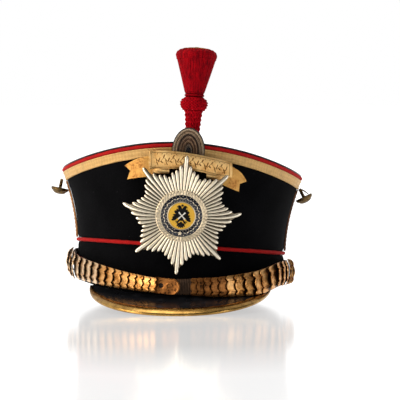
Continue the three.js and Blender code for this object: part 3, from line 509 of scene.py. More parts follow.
head = {
    "halfWidth": 83.7, "halfLength": 100, "bandHeight": 36.4, "seamFall": 5.8, "earRise": 11,
    "sideHeight": 97.3, "saddleRise": 19.4, "topFall": 3.7, "sideFlare": 13.3, "endFlare": 12,
    "flarePower": 1.9, "crownLean": 1.1, "wall": 2.5, "piping": 3, "laceFront": 6.9, "laceSide": 6.4,
}


def edgeHeight(t):
    # the edge rises over the ears: rise sin^2 t
    return head["earRise"] * np.sin(t) ** 2


def bandEdge(t):
    # the cloth's lower edge, which meets the peak at the front
    return edgeHeight(t) - 0.5 * easing(np.cos(t), 0.4, 0.65)


def seamHeight(t):
    # the seam over the band falls to the right: height - fall sin t
    return head["bandHeight"] - head["seamFall"] * np.sin(t)


def topHeight(t):
    # a saddle: side height + rise cos^2 t - fall sin t
    return head["sideHeight"] + head["saddleRise"] * np.cos(t) ** 2 - head["topFall"] * np.sin(t)


def laceHeight(t):
    # from its height at the front to its height at the sides by sin^2 t
    return head["laceFront"] + (head["laceSide"] - head["laceFront"]) * np.sin(t) ** 2


def bandPoint(t, z, out=0.0):
    # oval: ((half width + out) sin t, -(half length + out) cos t, z)
    return vectors((head["halfWidth"] + out) * np.sin(t), -(head["halfLength"] + out) * np.cos(t), z)


def crownPoint(t, z, out=0.0):
    # the band's oval plus the flare times s^power, s being the share of the way from seam to top
    seam = seamHeight(t)
    s = np.maximum(0, (z - seam) / (topHeight(t) - seam)) ** head["flarePower"]
    return vectors((head["halfWidth"] + head["sideFlare"] * s + out) * np.sin(t) + head["crownLean"] * s,
                   -(head["halfLength"] + head["endFlare"] * s + out) * np.cos(t), z)


clothSize = {"around": 420, "rows": 44, "inner": 8, "wave": 0.5, "pull": 0.7, "pullWidth": 1.5, "seam": 0.5}


def clothSkin(place, low, high, rows, wave):
    # a wall: out = slow waves that die at its edges, less a tuck at each seam, plus a felled seam behind
    t = around(clothSize["around"])[:, None]
    share = np.linspace(0, 1, rows)[None]
    z = low(t) + share * (high(t) - low(t))
    slow = np.sin(3 * t + 1.3 + 2 * share) + 0.6 * np.sin(7 * t + 5 * share)
    slow = slow + 0.35 * np.sin(17 * t - 6 * share)
    out = wave * 0.5 * slow * np.sin(pi * share)
    tuck = bump(z, low(t), clothSize["pullWidth"]) + bump(z, high(t), clothSize["pullWidth"])
    out = out - clothSize["pull"] * tuck
    away = (t - pi) * head["halfWidth"]
    out = out + clothSize["seam"] * (bump(away, 0, 3.2) - 2 * bump(away, 0, 0.8))
    back = np.linspace(1, 0, clothSize["inner"])[None]
    inside = place(t, low(t) + back * (high(t) - low(t)), -head["wall"])
    finish = np.where(np.arange(rows + clothSize["inner"]) < rows - 1, 0, 1)[None]
    return patch(np.concatenate([place(t, z, out), inside], 1), (True, True), finish)


half = gap / 2
makePiece("crownWall", [clothSkin(crownPoint, lambda t: seamHeight(t) + head["piping"] + half,
                                  lambda t: topHeight(t) - head["piping"] - half, clothSize["rows"],
                                  clothSize["wave"])], [wool, liningHide], ["crown_wall"])
makePiece("lowerBand", [clothSkin(bandPoint, bandEdge, lambda t: seamHeight(t) - half, 24, 0.35)],
          [wool, liningHide], ["lower_band"])

pipingSize = {"around": 620, "sides": 14, "middle": -0.5, "depth": 1.95, "height": 1.5, "ripple": 0.09,
              "tapeFoot": -4, "bandTape": 5.5, "topTape": 2.8}


def pipingRoll(place, base, tapeHeight):
    # an oval roll round the head: out = middle + depth cos b, z = middle height + half its height sin b;
    # a flat tape behind the seam closes the slits on both sides of the roll
    t = around(pipingSize["around"])[:, None]
    b = around(pipingSize["sides"])[None]
    swell = np.sin(47 * t) * 0.5 + np.sin(83 * t + 1) * 0.3 + np.sin(19 * t) * 0.4
    swell = 1 + pipingSize["ripple"] * swell
    out = pipingSize["middle"] + pipingSize["depth"] * np.cos(b) * swell
    z = base(t) + head["piping"] / 2 + pipingSize["height"] * np.sin(b) * swell
    rows = np.array([[pipingSize["tapeFoot"], tapeHeight, tapeHeight, pipingSize["tapeFoot"]]])
    tape = place(t, base(t) + rows, -head["wall"] - np.array([[0.1, 0.1, 0.5, 0.5]]))
    return [patch(place(t, z, out), (True, True)), patch(tape, (True, True), 1)]


makePiece("bandPiping", pipingRoll(bandPoint, seamHeight, pipingSize["bandTape"]), [scarlet, liningHide],
          ["band_piping"])
makePiece("topPiping", pipingRoll(crownPoint, lambda t: topHeight(t) - head["piping"],
                                  pipingSize["topTape"]), [scarlet, liningHide], ["top_piping"])

laceSize = {"around": 1200, "rows": 20, "thickness": 0.9, "cord": 0.35, "cordWidth": 0.5, "diamond": 0.1}


def laceBand():
    # a flat band: raised cords near both edges and lozenges sin(u + v) sin(u - v) between them
    t = around(laceSize["around"])[:, None]
    share = np.linspace(0, 1, laceSize["rows"])[None]
    high = topHeight(t) - head["piping"] - half
    wide = laceHeight(t)
    v = share * wide
    u = t * 102
    cords = bump(v, 0.6, laceSize["cordWidth"]) + bump(v, wide - 0.6, laceSize["cordWidth"])
    lozenges = np.sin((u + v) * 1.5) * np.sin((u - v) * 1.5) * easing(v, 1, 1.6) * easing(wide - v, 1, 1.6)
    out = gap + laceSize["thickness"] + laceSize["cord"] * cords + laceSize["diamond"] * lozenges
    outside = crownPoint(t, high - wide + v + 0.12 * np.sin(31 * t) * (1 - share), out)
    inside = crownPoint(t, high - np.array([[0.0, 1.0]]) * wide, gap)
    return patch(np.concatenate([outside, inside], 1), (True, True))


makePiece("galloon", [laceBand()], [lace], ["galloon"])

topSize = {"around": 360, "rings": 30, "thickness": 1.3, "rim": 0.6, "rimOut": -0.5, "dent": 0.7}


def patentTop():
    # a sheet that bends with the saddle: z = side height + rise (s cos t)^2, with a rolled rim
    t = around(topSize["around"])[:, None]
    s = np.linspace(0, 1, topSize["rings"])[None] * 0.985
    edge = crownPoint(t, topHeight(t), -head["wall"] - gap)

    def field(s, lift):
        z = head["sideHeight"] + head["saddleRise"] * (s * np.cos(t)) ** 2 - head["topFall"] * s * np.sin(t)
        return vectors(edge[..., 0] * s, edge[..., 1] * s, z + lift)

    dent = topSize["dent"] * (1 - s ** 2) * s * (np.sin(3 * t + 0.6) + 0.6 * np.sin(5 * t + 6 * s))
    b = np.radians(np.linspace(112, -90, 14))[None]
    roll = crownPoint(t, topHeight(t), topSize["rimOut"] + topSize["rim"] * np.cos(b))
    roll[..., 2] += gap + topSize["rim"] * (1 + np.sin(b)) - 0.05
    under = field(np.linspace(0.985, 0, 8)[None], gap)
    return patch(np.concatenate([field(s, topSize["thickness"] + dent), roll, under], 1), (True, False))


makePiece("crownTop", [patentTop()], [patent], ["crown_top"])
print("crown, band, piping, lace and top ready")

stripSize = {"width": 9, "thickness": 1.4, "stitchPitch": 3.2, "stitchIn": 1.1}


def sideStrip(side):
    # a strap of leather down the side: u across it, v up it, thinner at its edges by u^8
    middle = side * pi / 2
    share = np.linspace(-1, 1, 15)[None]
    radius = head["halfLength"] + 8
    t = middle + side * share * stripSize["width"] / 2 / radius * 1.06
    low = seamHeight(middle) + head["piping"] + gap
    high = topHeight(middle) - head["piping"] - laceHeight(middle) - 2 * gap
    v = np.linspace(0, 1, 60)[:, None]
    z = low + v * (high - low)
    thick = stripSize["thickness"] * (1 - 0.55 * share ** 8)
    ring = np.concatenate([crownPoint(t, z, gap + thick), crownPoint(t, z, gap + 0 * thick)[:, ::-1]], 1)
    rows = np.arange(low + 2, high - 1, stripSize["stitchPitch"])
    edge = np.array([-1, 1])[:, None] * (1 - 2 * stripSize["stitchIn"] / stripSize["width"])
    at = middle + side * edge * stripSize["width"] / 2 / radius * 1.06
    seats = crownPoint(at, rows[None], gap + stripSize["thickness"]).reshape(-1, 3)
    ahead = crownPoint(at, rows[None] + 1, gap + stripSize["thickness"]).reshape(-1, 3)
    along = unit(ahead - seats)
    out = np.array([side, 0, 0.0])
    stitches = pebbles(seats, along * 1.15, np.cross(along, out) * 0.38, out * 0.2)
    return [patch(capped(ring), (False, True)), patch(stitches, (False, True), 1)]


# the right strip takes the darker copy, painted shade
for side, word, hide in ((-1, "Left", tanHide), (1, "Right", shadedTanHide)):
    makePiece("sideStrip" + word, sideStrip(side), [hide, waxedThread],
              ["side_strip_" + word.lower()])

# The peak and its binding

peakSize = {
    "cornerOut": 0.9, "reach": 137, "turn": math.radians(57), "drop": 14, "shift": -3.5,
    "squareness": 2.2, "thickness": 1.6, "binding": 6.4, "metal": 0.45, "nose": 1.3, "steps": 220,
    "bow": 1.9, "fall": 1.06,
}


def peakRuling(share):
    # root on the band's lower edge, rim on a squarish curve |sin|^p, |cos|^p that drops to the front
    t = share * peakSize["turn"]
    thickness, power = peakSize["thickness"], 2 / peakSize["squareness"]
    root = bandPoint(t, edgeHeight(t) - gap - thickness / 2, -head["wall"] / 2)
    swing = share * pi / 2
    corner = -head["halfLength"] * math.cos(peakSize["turn"])
    halfWidth = head["halfWidth"] * math.sin(peakSize["turn"]) + peakSize["cornerOut"]
    cornerHeight = float(edgeHeight(peakSize["turn"])) - 2 * gap - thickness
    forward = np.abs(np.cos(swing)) ** power
    rim = vectors(halfWidth * np.sign(share) * np.abs(np.sin(swing)) ** power + peakSize["shift"] * forward,
                  corner - (peakSize["reach"] + corner) * forward,
                  cornerHeight - (cornerHeight + peakSize["drop"]) * forward ** peakSize["fall"])
    return root, rim


def peakFrame():
    # rulings closer together at the corners, each with its outward and upward directions
    share = np.sin(np.linspace(-1, 1, peakSize["steps"]) * pi / 2)
    root, rim = peakRuling(share)
    out = unit(rim - root)
    step = 0.01
    along = unit(peakRuling(np.minimum(1, share + step))[1] - peakRuling(np.maximum(-1, share - step))[1])
    up = unit(np.cross(out, along))
    return root, rim, out, up * np.sign(up[:, 2:])


def peakArch(root, rim, v):
    # the peak bends down to its rim: k v^3 (1 - v), k = bow 256 / 27 (length / longest)^2, and its slope
    length = np.linalg.norm(rim - root, axis=1)[:, None]
    k = peakSize["bow"] * 256 / 27 * (length / length.max()) ** 2
    return k * v ** 3 * (1 - v), k * (3 * v ** 2 - 4 * v ** 3) / length


def peakSheet():
    # between the rulings' ends: (1 - v) root + v rim, lifted by half the thickness and the arch
    root, rim, _, up = peakFrame()
    v = np.concatenate([np.linspace(0, 1, 26), np.linspace(1, 0, 26)])[None]
    lift = np.repeat([1, -1], 26)[None] * peakSize["thickness"] / 2 + peakArch(root, rim, v)[0]
    v = v[..., None]
    points = root[:, None] * (1 - v) + rim[:, None] * v + up[:, None] * lift[..., None]
    finish = np.where(np.arange(52) < 26, 0, 1)[None]
    return patch(capped(points), (False, True), finish)


def bindingRoll():
    # sheet folded over the rim: flat lips joined by a half oval nose, the same path again as its inside
    root, rim, out, up = peakFrame()
    slot = peakSize["thickness"] / 2 + gap * 0.4
    face = slot + peakSize["metal"]
    length = np.linalg.norm(rim - root, axis=1)[:, None]
    clear = (head["wall"] / 2 + 2 * gap) / np.linalg.norm((rim - root)[:, :2], axis=1)[:, None]
    depth = np.minimum(np.minimum(peakSize["binding"], 1.2 + 0.2 * length), length * (1 - clear))
    b = np.linspace(pi / 2, -pi / 2, 13)[None]
    lip = np.linspace(1, 0.04, 12)[None]
    back = np.concatenate([lip, 0 * b, lip[:, ::-1]], 1) * depth
    rise, slope = peakArch(root, rim, 1 - back / length)
    steep = np.sqrt(1 + slope ** 2)

    def path(nose, height, swell):
        bow = swell * np.sin(pi * lip)
        forward = np.concatenate([0 * lip, nose * np.cos(b), 0 * lip], 1)
        lift = np.concatenate([height + bow, height * np.sin(b), -height - bow[:, ::-1]], 1)
        run = -back + (forward - slope * lift) / steep
        height = rise + (slope * forward + lift) / steep
        return rim[:, None] + out[:, None] * run[..., None] + up[:, None] * height[..., None]

    outer, inner = path(peakSize["nose"], face, 0.3), path(gap, slot, 0.0)
    ring = np.concatenate([outer, inner[:, ::-1]], 1)
    ends = [patch(np.stack([outer[k], inner[k]])) for k in (0, -1)]
    return [patch(ring, (False, True))] + ends


makePiece("peak", [peakSheet()], [patent, strapHide], ["peak"])
makePiece("peakBinding", bindingRoll(), [bindingBrass], ["peak_binding"])
print("side strips, peak and binding ready")

# Chin straps and their scales

strapSize = {
    "width": 20, "stand": 6.2, "thickness": 1.4, "bossRadius": 7, "bossDepth": 2.6, "shrink": 0.94,
    "paleLeft": 7, "cleanRight": 12,
    "leftRoute": [  # degrees round the head, shares of the band's height, the width and the stand
        (-98, 0.79, 0.93, 0.36), (-88, 0.76, 0.95, 0.52), (-70, 0.62, 0.92, 0.8), (-50, 0.485, 0.79, 1),
        (-33, 0.35, 0.66, 1), (-17, 0.24, 0.57, 1.05), (-2, 0.175, 0.55, 1.3)],
    "rightRoute": [
        (98, 0.52, 0.93, 0.34), (88, 0.5, 0.95, 0.45), (68, 0.47, 0.98, 1.05), (53, 0.43, 0.92, 1.9),
        (45, 0.345, 0.91, 2.05), (36, 0.258, 0.9, 2.1), (20, 0.18, 0.75, 1.4), (5, 0.175, 0.63, 0.85),
        (-6, 0.17, 0.58, 0.7)],
}


def strapLine(route):
    # a smooth line through the route's points, whose speed goes by the square root of their distances;
    # returns a function of the share of its length: place, along, up, out and width there
    angle, high, wide, stand = np.array(route, float).T
    p = bandPoint(np.radians(angle), high * head["bandHeight"], stand * strapSize["stand"])
    p = np.vstack([2 * p[0] - p[1], p, 2 * p[-1] - p[-2]])
    d = np.sqrt(np.linalg.norm(np.diff(p, axis=0), axis=1))[:, None]
    p0, p1, p2, p3, d0, d1, d2 = p[:-3], p[1:-2], p[2:-1], p[3:], d[:-2], d[1:-1], d[2:]
    m1 = ((p1 - p0) / d0 - (p2 - p0) / (d0 + d1) + (p2 - p1) / d1) * d1
    m2 = ((p2 - p1) / d1 - (p3 - p1) / (d1 + d2) + (p3 - p2) / d2) * d1
    s = np.linspace(0, 1, 120)[None, :, None]
    curve = (p1[:, None] + s * m1[:, None] + s ** 2 * (3 * (p2 - p1) - 2 * m1 - m2)[:, None]
             + s ** 3 * (2 * (p1 - p2) + m1 + m2)[:, None])
    knots = (np.arange(len(p1))[:, None] + s[0, :, 0]).reshape(-1)
    curve = curve.reshape(-1, 3)
    keep = np.concatenate([[True], np.linalg.norm(np.diff(curve, axis=0), axis=1) > 1e-9])
    curve, knots = curve[keep], knots[keep]
    run = np.concatenate([[0], np.cumsum(np.linalg.norm(np.diff(curve, axis=0), axis=1))])
    tangent = unit(np.gradient(curve, run, axis=0))
    widths = np.interp(knots, np.arange(len(wide)), wide) * strapSize["width"]

    def at(share):
        share = np.clip(np.asarray(share, float), 0, 1)
        pick = lambda values: np.stack([np.interp(share * run[-1], run, column) for column in values.T], -1)
        place, along = pick(curve), unit(pick(tangent))
        out = place / np.array([head["halfWidth"] ** 2, head["halfLength"] ** 2, np.inf])
        out = unit(out - (out * along).sum(-1, keepdims=True) * along)
        up = unit(np.cross(out, along))
        return place, along, up * np.sign(up[..., 2:]), out, np.interp(share * run[-1], run, widths)

    return at, run[-1]


def strapBacking(at):
    # a leather strap: an oblong with rounded corners behind the line, 0.42 of the width to each side,
    # whose edges are worn wavy
    share = np.linspace(0, 1, 170)
    place, _, up, out, width = at(share)
    corners = np.array([(-1, -0.3), (-0.97, 0), (-0.5, 0.04), (0, 0.06), (0.5, 0.04), (0.97, 0), (1, -0.3),
                        (1, -0.7), (0.97, -1), (0, -1), (-0.97, -1), (-1, -0.7)])
    wave = 1 + 0.012 * np.sin(share * 140) + 0.01 * np.sin(share * 47)
    rise = corners[None, :, 0] * (width * 0.42 * wave)[:, None]
    deep = corners[None, :, 1:] * strapSize["thickness"]
    section = place[:, None] + up[:, None] * rise[..., None] + out[:, None] * deep
    return patch(capped(section), (False, True))


def scaleStarts(count, low, high):
    # where each scale starts: each pitch is the same share of the one before it
    shrink = strapSize["shrink"]
    return low + (high - low) * (1 - shrink ** np.arange(count)) / (1 - shrink ** count)


scaleSize = {"thickness": 0.7, "length": 1.62, "arch": 0.1, "lobe": 0.3, "flat": 0.5, "emboss": 0.42,
             "across": 49, "along": 16}


def scaleForm(at, start, pitch):
    # a plate with a flat middle and sloping sides; its free end has three round lobes, 1 - (y / half)^2,
    # each pressed up a little, with a crease where they meet
    place, along, up, out, width = at(start)
    y = np.linspace(-1, 1, scaleSize["across"])[:, None]
    mid = np.abs(y) < scaleSize["flat"]
    reach = np.where(mid, 1 - (y / scaleSize["flat"]) ** 2,
                     0.82 * (1 - ((np.abs(y) - 0.75) / 0.25) ** 2) - 0.05)
    v = np.linspace(0, 1, scaleSize["along"])[None]
    side = np.maximum(0, (np.abs(y) - scaleSize["flat"]) / (1 - scaleSize["flat"]))
    profile = scaleSize["arch"] * width * (1 - 0.12 * (y / scaleSize["flat"]) ** 2 * mid - 0.88 * side ** 1.1
                                           - 0.12 * (side > 0))
    dome = scaleSize["emboss"] * (np.clip(reach, 0, 1) - 0.6) * easing(v, 0.3, 0.95)
    run = v * scaleSize["length"] * pitch + reach * scaleSize["lobe"] * pitch * easing(v, 0.35, 1)
    bevel = np.where(v == 1, 0.12, 0)
    slope = (scaleSize["thickness"] + gap) / pitch
    top = gap + profile + run * slope + scaleSize["thickness"] + np.minimum(dome, 0.16) - bevel

    def points(run, lift):
        run, rise, lift = np.broadcast_arrays(run, y * width / 2, lift)
        return place + along * run[..., None] + up * rise[..., None] + out * lift[..., None]

    under = points(run, top - scaleSize["thickness"] + bevel)
    ring = np.concatenate([points(run - bevel, top), under[:, ::-1]], 1)
    # v coordinate: 10 less the millimetres to the free end of the scale above
    uv = np.zeros((scaleSize["across"] + 2, 2 * scaleSize["along"] + 1, 2))
    above = scaleSize["length"] - 1 + np.clip(reach, 0, 1) * scaleSize["lobe"]
    above = above * pitch / strapSize["shrink"]
    uv[1:-1, :scaleSize["along"], 1] = 10 + above - run
    return patch(capped(ring), (False, True), uv=uv)


def bossForm(at, length):
    # a plain domed stud at the strap's end: height = depth sqrt(1 - r^2), with a faint ridge near its edge
    place, _, up, out, _ = at((strapSize["bossRadius"] + 1) / length)
    r = np.concatenate([[0.0], np.linspace(1, 0, 18)])
    z = np.concatenate([[0.0], strapSize["bossDepth"] * np.sqrt(1 - np.linspace(1, 0, 18) ** 2)])
    ridge = 0.12 * bump(r, 0.82, 0.06)
    seat = seated(place + out * gap, np.cross(up, out), up, out)
    return patch(seat(lathe(r * strapSize["bossRadius"], z + ridge, 48)), (True, False))


plateSize = {"length": 21, "width": 12.6, "hole": 1.9, "thickness": 1.0}


def plateForms(at, to):
    # an end plate, square at one end and round at the other, with a drilled hole and a turned-up hook
    place, along, up, out, _ = at(to + 0.01)
    seat = seated(place + out * gap, along, up, out)
    length, halfWide = plateSize["length"], plateSize["width"] / 2
    a = np.linspace(-pi / 2, pi / 2, 40)
    bow = np.stack([length - halfWide + halfWide * np.cos(a), halfWide * np.sin(a)], 1)
    side = np.linspace(1, 0, 12)[1:, None] * [length - halfWide, 0]
    flat = np.linspace(1, -1, 14)[1:, None] * [0, halfWide]
    outline = np.concatenate([bow, side + [0, halfWide], flat, (side[::-1] + [0, -halfWide])[1:]])
    centre = np.array([length * 0.28, 0])
    hole = centre + unit(outline - centre) * plateSize["hole"]
    s = np.array([0, 0.08, 0.3, 0.6, 0.85, 0.94, 1, 1, 0.94, 0.5, 0.08, 0])[None, :, None]
    z = np.array([0.8, 1.05, 0.9, 0.9, 1.0, 1.25, 0.85, 0.15, 0, 0, 0, 0.15])[None] * plateSize["thickness"]
    flatPoints = hole[:, None] * (1 - s) + outline[:, None] * s
    sheet = vectors(flatPoints[..., 0], flatPoints[..., 1], z)
    b = np.linspace(-0.3 * pi, 0.95 * pi, 26)
    curl = vectors(length * 0.6 - 2.4 * np.cos(b), 0.2 + 2.0 * np.sin(b), 1.1 + 0.5 * np.sin(b / 2))
    hook = tube(curl, np.linspace(1.15, 0.5, 26), 10, flat=0.8)
    rivet = pebbles([[length * 0.82, -1.6, 1.0]], [[1.1, 0, 0]], [[0, 1.1, 0]], [[0, 0, 0.6]], sides=14)
    return [patch(seat(sheet), (True, True)), patch(seat(capped(hook)), (False, True)),
            patch(seat(rivet), (False, True))]


def lashing(at, low, high, turns, radius):
    # waxed thread wound over the strap: across (0.44 width + radius) cos b, out and back by a cut-off sine
    b = np.linspace(0, 2 * pi * turns, 40 * turns)
    share = low + b / b[-1] * (high - low)
    place, along, up, out, width = at(share)
    rise = np.cos(b) * (width * 0.44 + radius)
    deep = (np.clip(1.6 * np.sin(b), -1, 1) * 0.5 - 0.5) * (strapSize["thickness"] + 2 * radius) + radius
    path = place + up * rise[:, None] + out * deep[:, None]
    return patch(capped(tube(path, radius, 7, across=along[0])), (False, True))


straps = {  # route, number of scales, share of the strap where they end
    "Left": ("leftRoute", 15, 0.882), "Right": ("rightRoute", 17, 0.887),
}
for word, (route, count, to) in straps.items():
    at, length = strapLine(strapSize[route])
    makePiece("chinStrap" + word, [strapBacking(at)], [strapHide],
              ["chin_strap_" + word.lower()])
    starts = scaleStarts(count, (2 * strapSize["bossRadius"] + 2) / length, to)
    for k, start in enumerate(starts):
        pitch = (np.append(starts, to)[k + 1] - start) * length
        # the first scales on the left take the pale copy, a painted reflection of the bright left side
        metal = brass if word == "Right" or k >= strapSize["paleLeft"] else paleBrass
        metal = copperBrass if word == "Right" and k >= strapSize["cleanRight"] else metal
        makePiece(f"scale{word}{k + 1:02d}", [scaleForm(at, start, pitch)], [metal],
                  [f"scale_{word.lower()}_{k + 1:02d}"], crease=28)
    makePiece("chinBoss" + word, [bossForm(at, length)], [darkBrass],
              ["chin_boss_" + word.lower()])
    if word == "Left":
        makePiece("chinPlate", plateForms(at, to), [copperBrass], ["chin_plate"])
    else:
        makePiece("strapLashing", [lashing(at, to + 0.02, 0.985, 11, 0.45)], [waxedThread])
print("chin straps, scales and end plate ready")

# The pile on the front: cockade, scroll, then the star

front = {"offset": 7.1, "cockadeOffset": 5.8, "cockadeLift": 5.4, "lean": 12, "scrollDrop": 14.6,
         "starHeight": 61.4, "starOffset": 0.5, "starLean": 7.5, "starTurn": 5.2, "starRadius": 46.3,
         "overLace": 1.3, "overCockade": 2.1, "foldDepth": 1.6, "overScroll": 2.2}
leanSlope = math.tan(math.radians(front["lean"]))
frontTop = float(topHeight(0))
cockadeFace = (head["halfLength"] + head["endFlare"] + front["overLace"] + 2 * gap
               - front["cockadeLift"] * leanSlope)
cockadeHeight = frontTop - front["cockadeLift"]
scrollHeight = frontTop - front["scrollDrop"]
scrollFace = (cockadeFace + front["overCockade"] + gap - (cockadeHeight - scrollHeight) * leanSlope
              + front["foldDepth"])
tipFace = (scrollFace + (front["starHeight"] + front["starRadius"] - scrollHeight) * leanSlope
           + front["overScroll"] + gap)
starFace = tipFace - front["starRadius"] * math.tan(math.radians(front["starLean"]))

cockadeSize = {"halfWidth": 12.7, "halfHeight": 18, "depth": 3.4, "rings": 6, "cord": 0.42, "threads": 110,
               "around": 144, "inwards": 74}


def cockadeForm():
    # rings of a pointed oval: x = a r sin p (1 - (1 - r) / 4), y = b r cos p (1 + (1 - r) cos^2 p / 5);
    # the height rises inwards in half round cords |sin|, with r from the rim to the middle
    count, inwards = cockadeSize["around"], cockadeSize["inwards"]
    p = around(count)[:, None]
    r = np.concatenate([[0.0, 0.97, 1.0], np.linspace(1, 0.0, inwards)])[None]
    cords = np.abs(np.sin(pi * cockadeSize["rings"] * r)) ** 0.7
    face = cockadeSize["depth"] * (0.42 + 0.5 * (1 - r ** 2)) + cockadeSize["cord"] * 2 * (cords - 0.5)
    column = np.arange(3 + inwards)[None]  # three columns for its flat back, then the face
    z = np.where(column < 3, 0.35 * (column == 2), face * easing(1.0001 - r, 0, 0.02))
    z = np.where(column == 3, cockadeSize["depth"] * 0.3, z)
    slim = 1 - 0.25 * (1 - r)
    grow = 1 + 0.2 * (1 - r) * np.cos(p) ** 2
    points = vectors(cockadeSize["halfWidth"] * r * np.sin(p) * slim,
                     cockadeSize["halfHeight"] * r * np.cos(p) * grow, z)
    turn, share = np.meshgrid(np.arange(count + 1) / count * cockadeSize["threads"], r[0], indexing="ij")
    uv = np.stack([turn, share], -1)
    return patch(frontSeat(front["cockadeOffset"], -cockadeFace, cockadeHeight, front["lean"], 2)(points),
                 (True, False), uv=uv)


makePiece("cockade", [cockadeForm()], [bullion], ["cockade"], crease=60)

scrollSize = {"bend": 96, "thickness": 0.8, "swell": 0.9, "leafPairs": 15}
panelRows = np.array([  # x, top and bottom of the panel
    (-31, 8.4, -5.6), (-24, 8.8, -5.4), (-14.5, 8.9, -5.3), (-7, 8.3, -4.6), (3.3, 6.6, -6.3),
    (14.4, 4.2, -9.4), (23.4, 1.9, -11), (32, -0.8, -12.4)])


def panelEdges(x):
    # curves of the fourth degree close to the panel's top and bottom rows
    return [np.polyval(np.polyfit(panelRows[:, 0], panelRows[:, k], 4), x) for k in (1, 2)]


def scrollBent(x, y, z):
    # flat x, y, z wrapped round a cylinder: ((R + z) sin(x / R), y, (R + z) cos(x / R) - R)
    bend = scrollSize["bend"]
    return vectors((bend + z) * np.sin(x / bend), y, (bend + z) * np.cos(x / bend) - bend)


def panelPlace(x, share, lift):
    # a point of the panel by x and the share of its height; it swells in the middle and curls at its ends
    top, bottom = panelEdges(x)
    swell = scrollSize["swell"] * (1 - (2 * share - 1) ** 2)
    curl = 1.3 * (bump(x, -31, 2.2) + bump(x, 32, 2.2))
    return scrollBent(x, bottom + share * (top - bottom), swell + curl + lift)


def panelForm():
    # the middle of the ribbon: its front and, one thickness behind, its back
    x = np.linspace(-31.4, 32.2, 90)[:, None]
    share = np.linspace(0, 1, 16)[None]
    frontSide = panelPlace(x, share, scrollSize["thickness"])
    backSide = panelPlace(x, share[:, ::-1], 0)
    return patch(capped(np.concatenate([frontSide, backSide], 1)), (False, True))


def tailForm(upper, lower, notch, apex, depth):
    # between two edge curves: (1 - v) lower(u k) + v upper(u k), rippled; k falls from 1 at both edges to
    # 1 - notch where v is the apex
    u = np.linspace(0, 1, 40)[:, None]
    v = np.linspace(0, 1, 21)[None]
    k = 1 - notch * np.interp(v, [0, apex, 1], [0, 1, 0])

    def edge(rows):
        rows = np.array(rows, float)
        run = np.concatenate([[0], np.cumsum(np.linalg.norm(np.diff(rows, axis=0), axis=1))])
        run /= run[-1]
        order = min(len(rows) - 1, 2)
        return [np.polyval(np.polyfit(run, rows[:, c], order), u * k) for c in (0, 1)]

    (ux, uy), (lx, ly) = edge(upper), edge(lower)
    x, y = lx + v * (ux - lx), ly + v * (uy - ly)
    z = depth + 0.5 * np.sin(u * 4.5) * u
    rim = 0.22 * (bump(v, 0.07, 0.05) + bump(v, 0.93, 0.05))
    ring = np.concatenate([scrollBent(x, y, z + 0.9 + rim), scrollBent(x, y, z)[:, ::-1]], 1)
    return patch(capped(ring), (False, True), 2)


def foldForm(a, b, radius):
    # a rolled under end: a spiral r = radius (1 - 0.4 turn) about the line a to b, thinner at both ends
    u = np.linspace(0, 1, 30)[:, None]
    turn = np.linspace(0, 1, 34)[None]
    r = radius * (1 - 0.4 * turn) * (0.72 + 0.28 * np.sin(pi * np.clip(u, 0.12, 0.88)))
    angle = pi / 2 - turn * 2.6 * pi
    x = a[0] + u * (b[0] - a[0]) + 0 * turn
    y = a[1] + u * (b[1] - a[1]) + r * np.sin(angle)
    z = -0.7 + 0.75 * r * np.cos(angle)
    inner = scrollBent(x, y - 0.35 * np.sin(angle), z - 0.35 * np.cos(angle))[:, ::-1]
    return patch(capped(np.concatenate([scrollBent(x, y, z), inner], 1)), (False, True))


def panelLines():
    # engraved border: thin dark rods laid in along the panel's four sides, just proud of the face
    lift = scrollSize["thickness"] + 0.02
    x = np.linspace(-29.4, 30.2, 70)
    runs = [tube(panelPlace(x, 0 * x + s, lift), 0.16, 6, across=(0, 1, 0)) for s in (0.1, 0.9)]
    y = np.linspace(0.1, 0.9, 20)
    runs += [tube(panelPlace(0 * y + at, y, lift), 0.16, 6, across=(1, 0, 0)) for at in (-29.4, 30.2)]
    return [patch(capped(run), (False, True), 1) for run in runs]


def panelVine():
    # an engraved running vine: stem 0.5 + 0.11 sin(wave x), leaves to either side by turns, berries beyond
    lift = scrollSize["thickness"] + 0.03
    x = np.linspace(-26.5, 27.5, 150)
    wave = 2 * pi / 7.2
    stem = panelPlace(x, 0.5 + 0.11 * np.sin(wave * x), lift)
    forms = [patch(capped(tube(stem, 0.17, 6, across=(0, 1, 0))), (False, True), 1)]
    n = scrollSize["leafPairs"] * 2
    at = np.linspace(-26, 27, n)
    side = np.where(np.arange(n) % 2, 1, -1)
    root = panelPlace(at, 0.5 + 0.11 * np.sin(wave * at), lift)
    tip = panelPlace(at + 1.5, 0.5 + 0.11 * np.sin(wave * (at + 1.5)) + 0.23 * side, lift)
    ahead = unit(tip - root)
    out = np.array([0, 0, 1.0])
    leaves = pebbles((root + tip) / 2, (tip - root) * 0.5, np.cross(ahead, out) * 0.55, out * 0.14, 1.4)
    forms.append(patch(leaves, (False, True), 1))
    dots = panelPlace(at[:-1:2] + 0.9, 0.5 + 0.0 * at[:-1:2] - 0.33 * side[:-1:2], lift)
    forms.append(patch(pebbles(dots, [0.36, 0, 0], [0, 0.36, 0], [0, 0, 0.14]), (False, True), 1))
    return forms


def scrollForms():
    # the ribbon's panel, its two swallow tails with rolled folds behind them, and the engraving
    upper = [(-29, 4.6), (-34.5, 3.8), (-44, 0.4), (-53.5, -5)]
    lower = [(-29, -11.4), (-40, -13.2), (-51.3, -15.6)]
    rightUpper = [(30, -3.2), (39, -8.2), (45.6, -16.8)]
    rightLower = [(22, -16.2), (30, -20.4), (39, -24.4)]
    forms = [panelForm(), tailForm(upper, lower, 0.33, 0.68, -0.75),
             tailForm(rightUpper, rightLower, 0.36, 0.5, -0.75),
             foldForm((-29, -7), (-16, -7), 3.1), foldForm((12.6, -10.5), (27, -12.8), 3.1)]
    forms += panelLines() + panelVine()
    return moved(forms, frontSeat(front["offset"], -scrollFace, scrollHeight, front["lean"], 0))


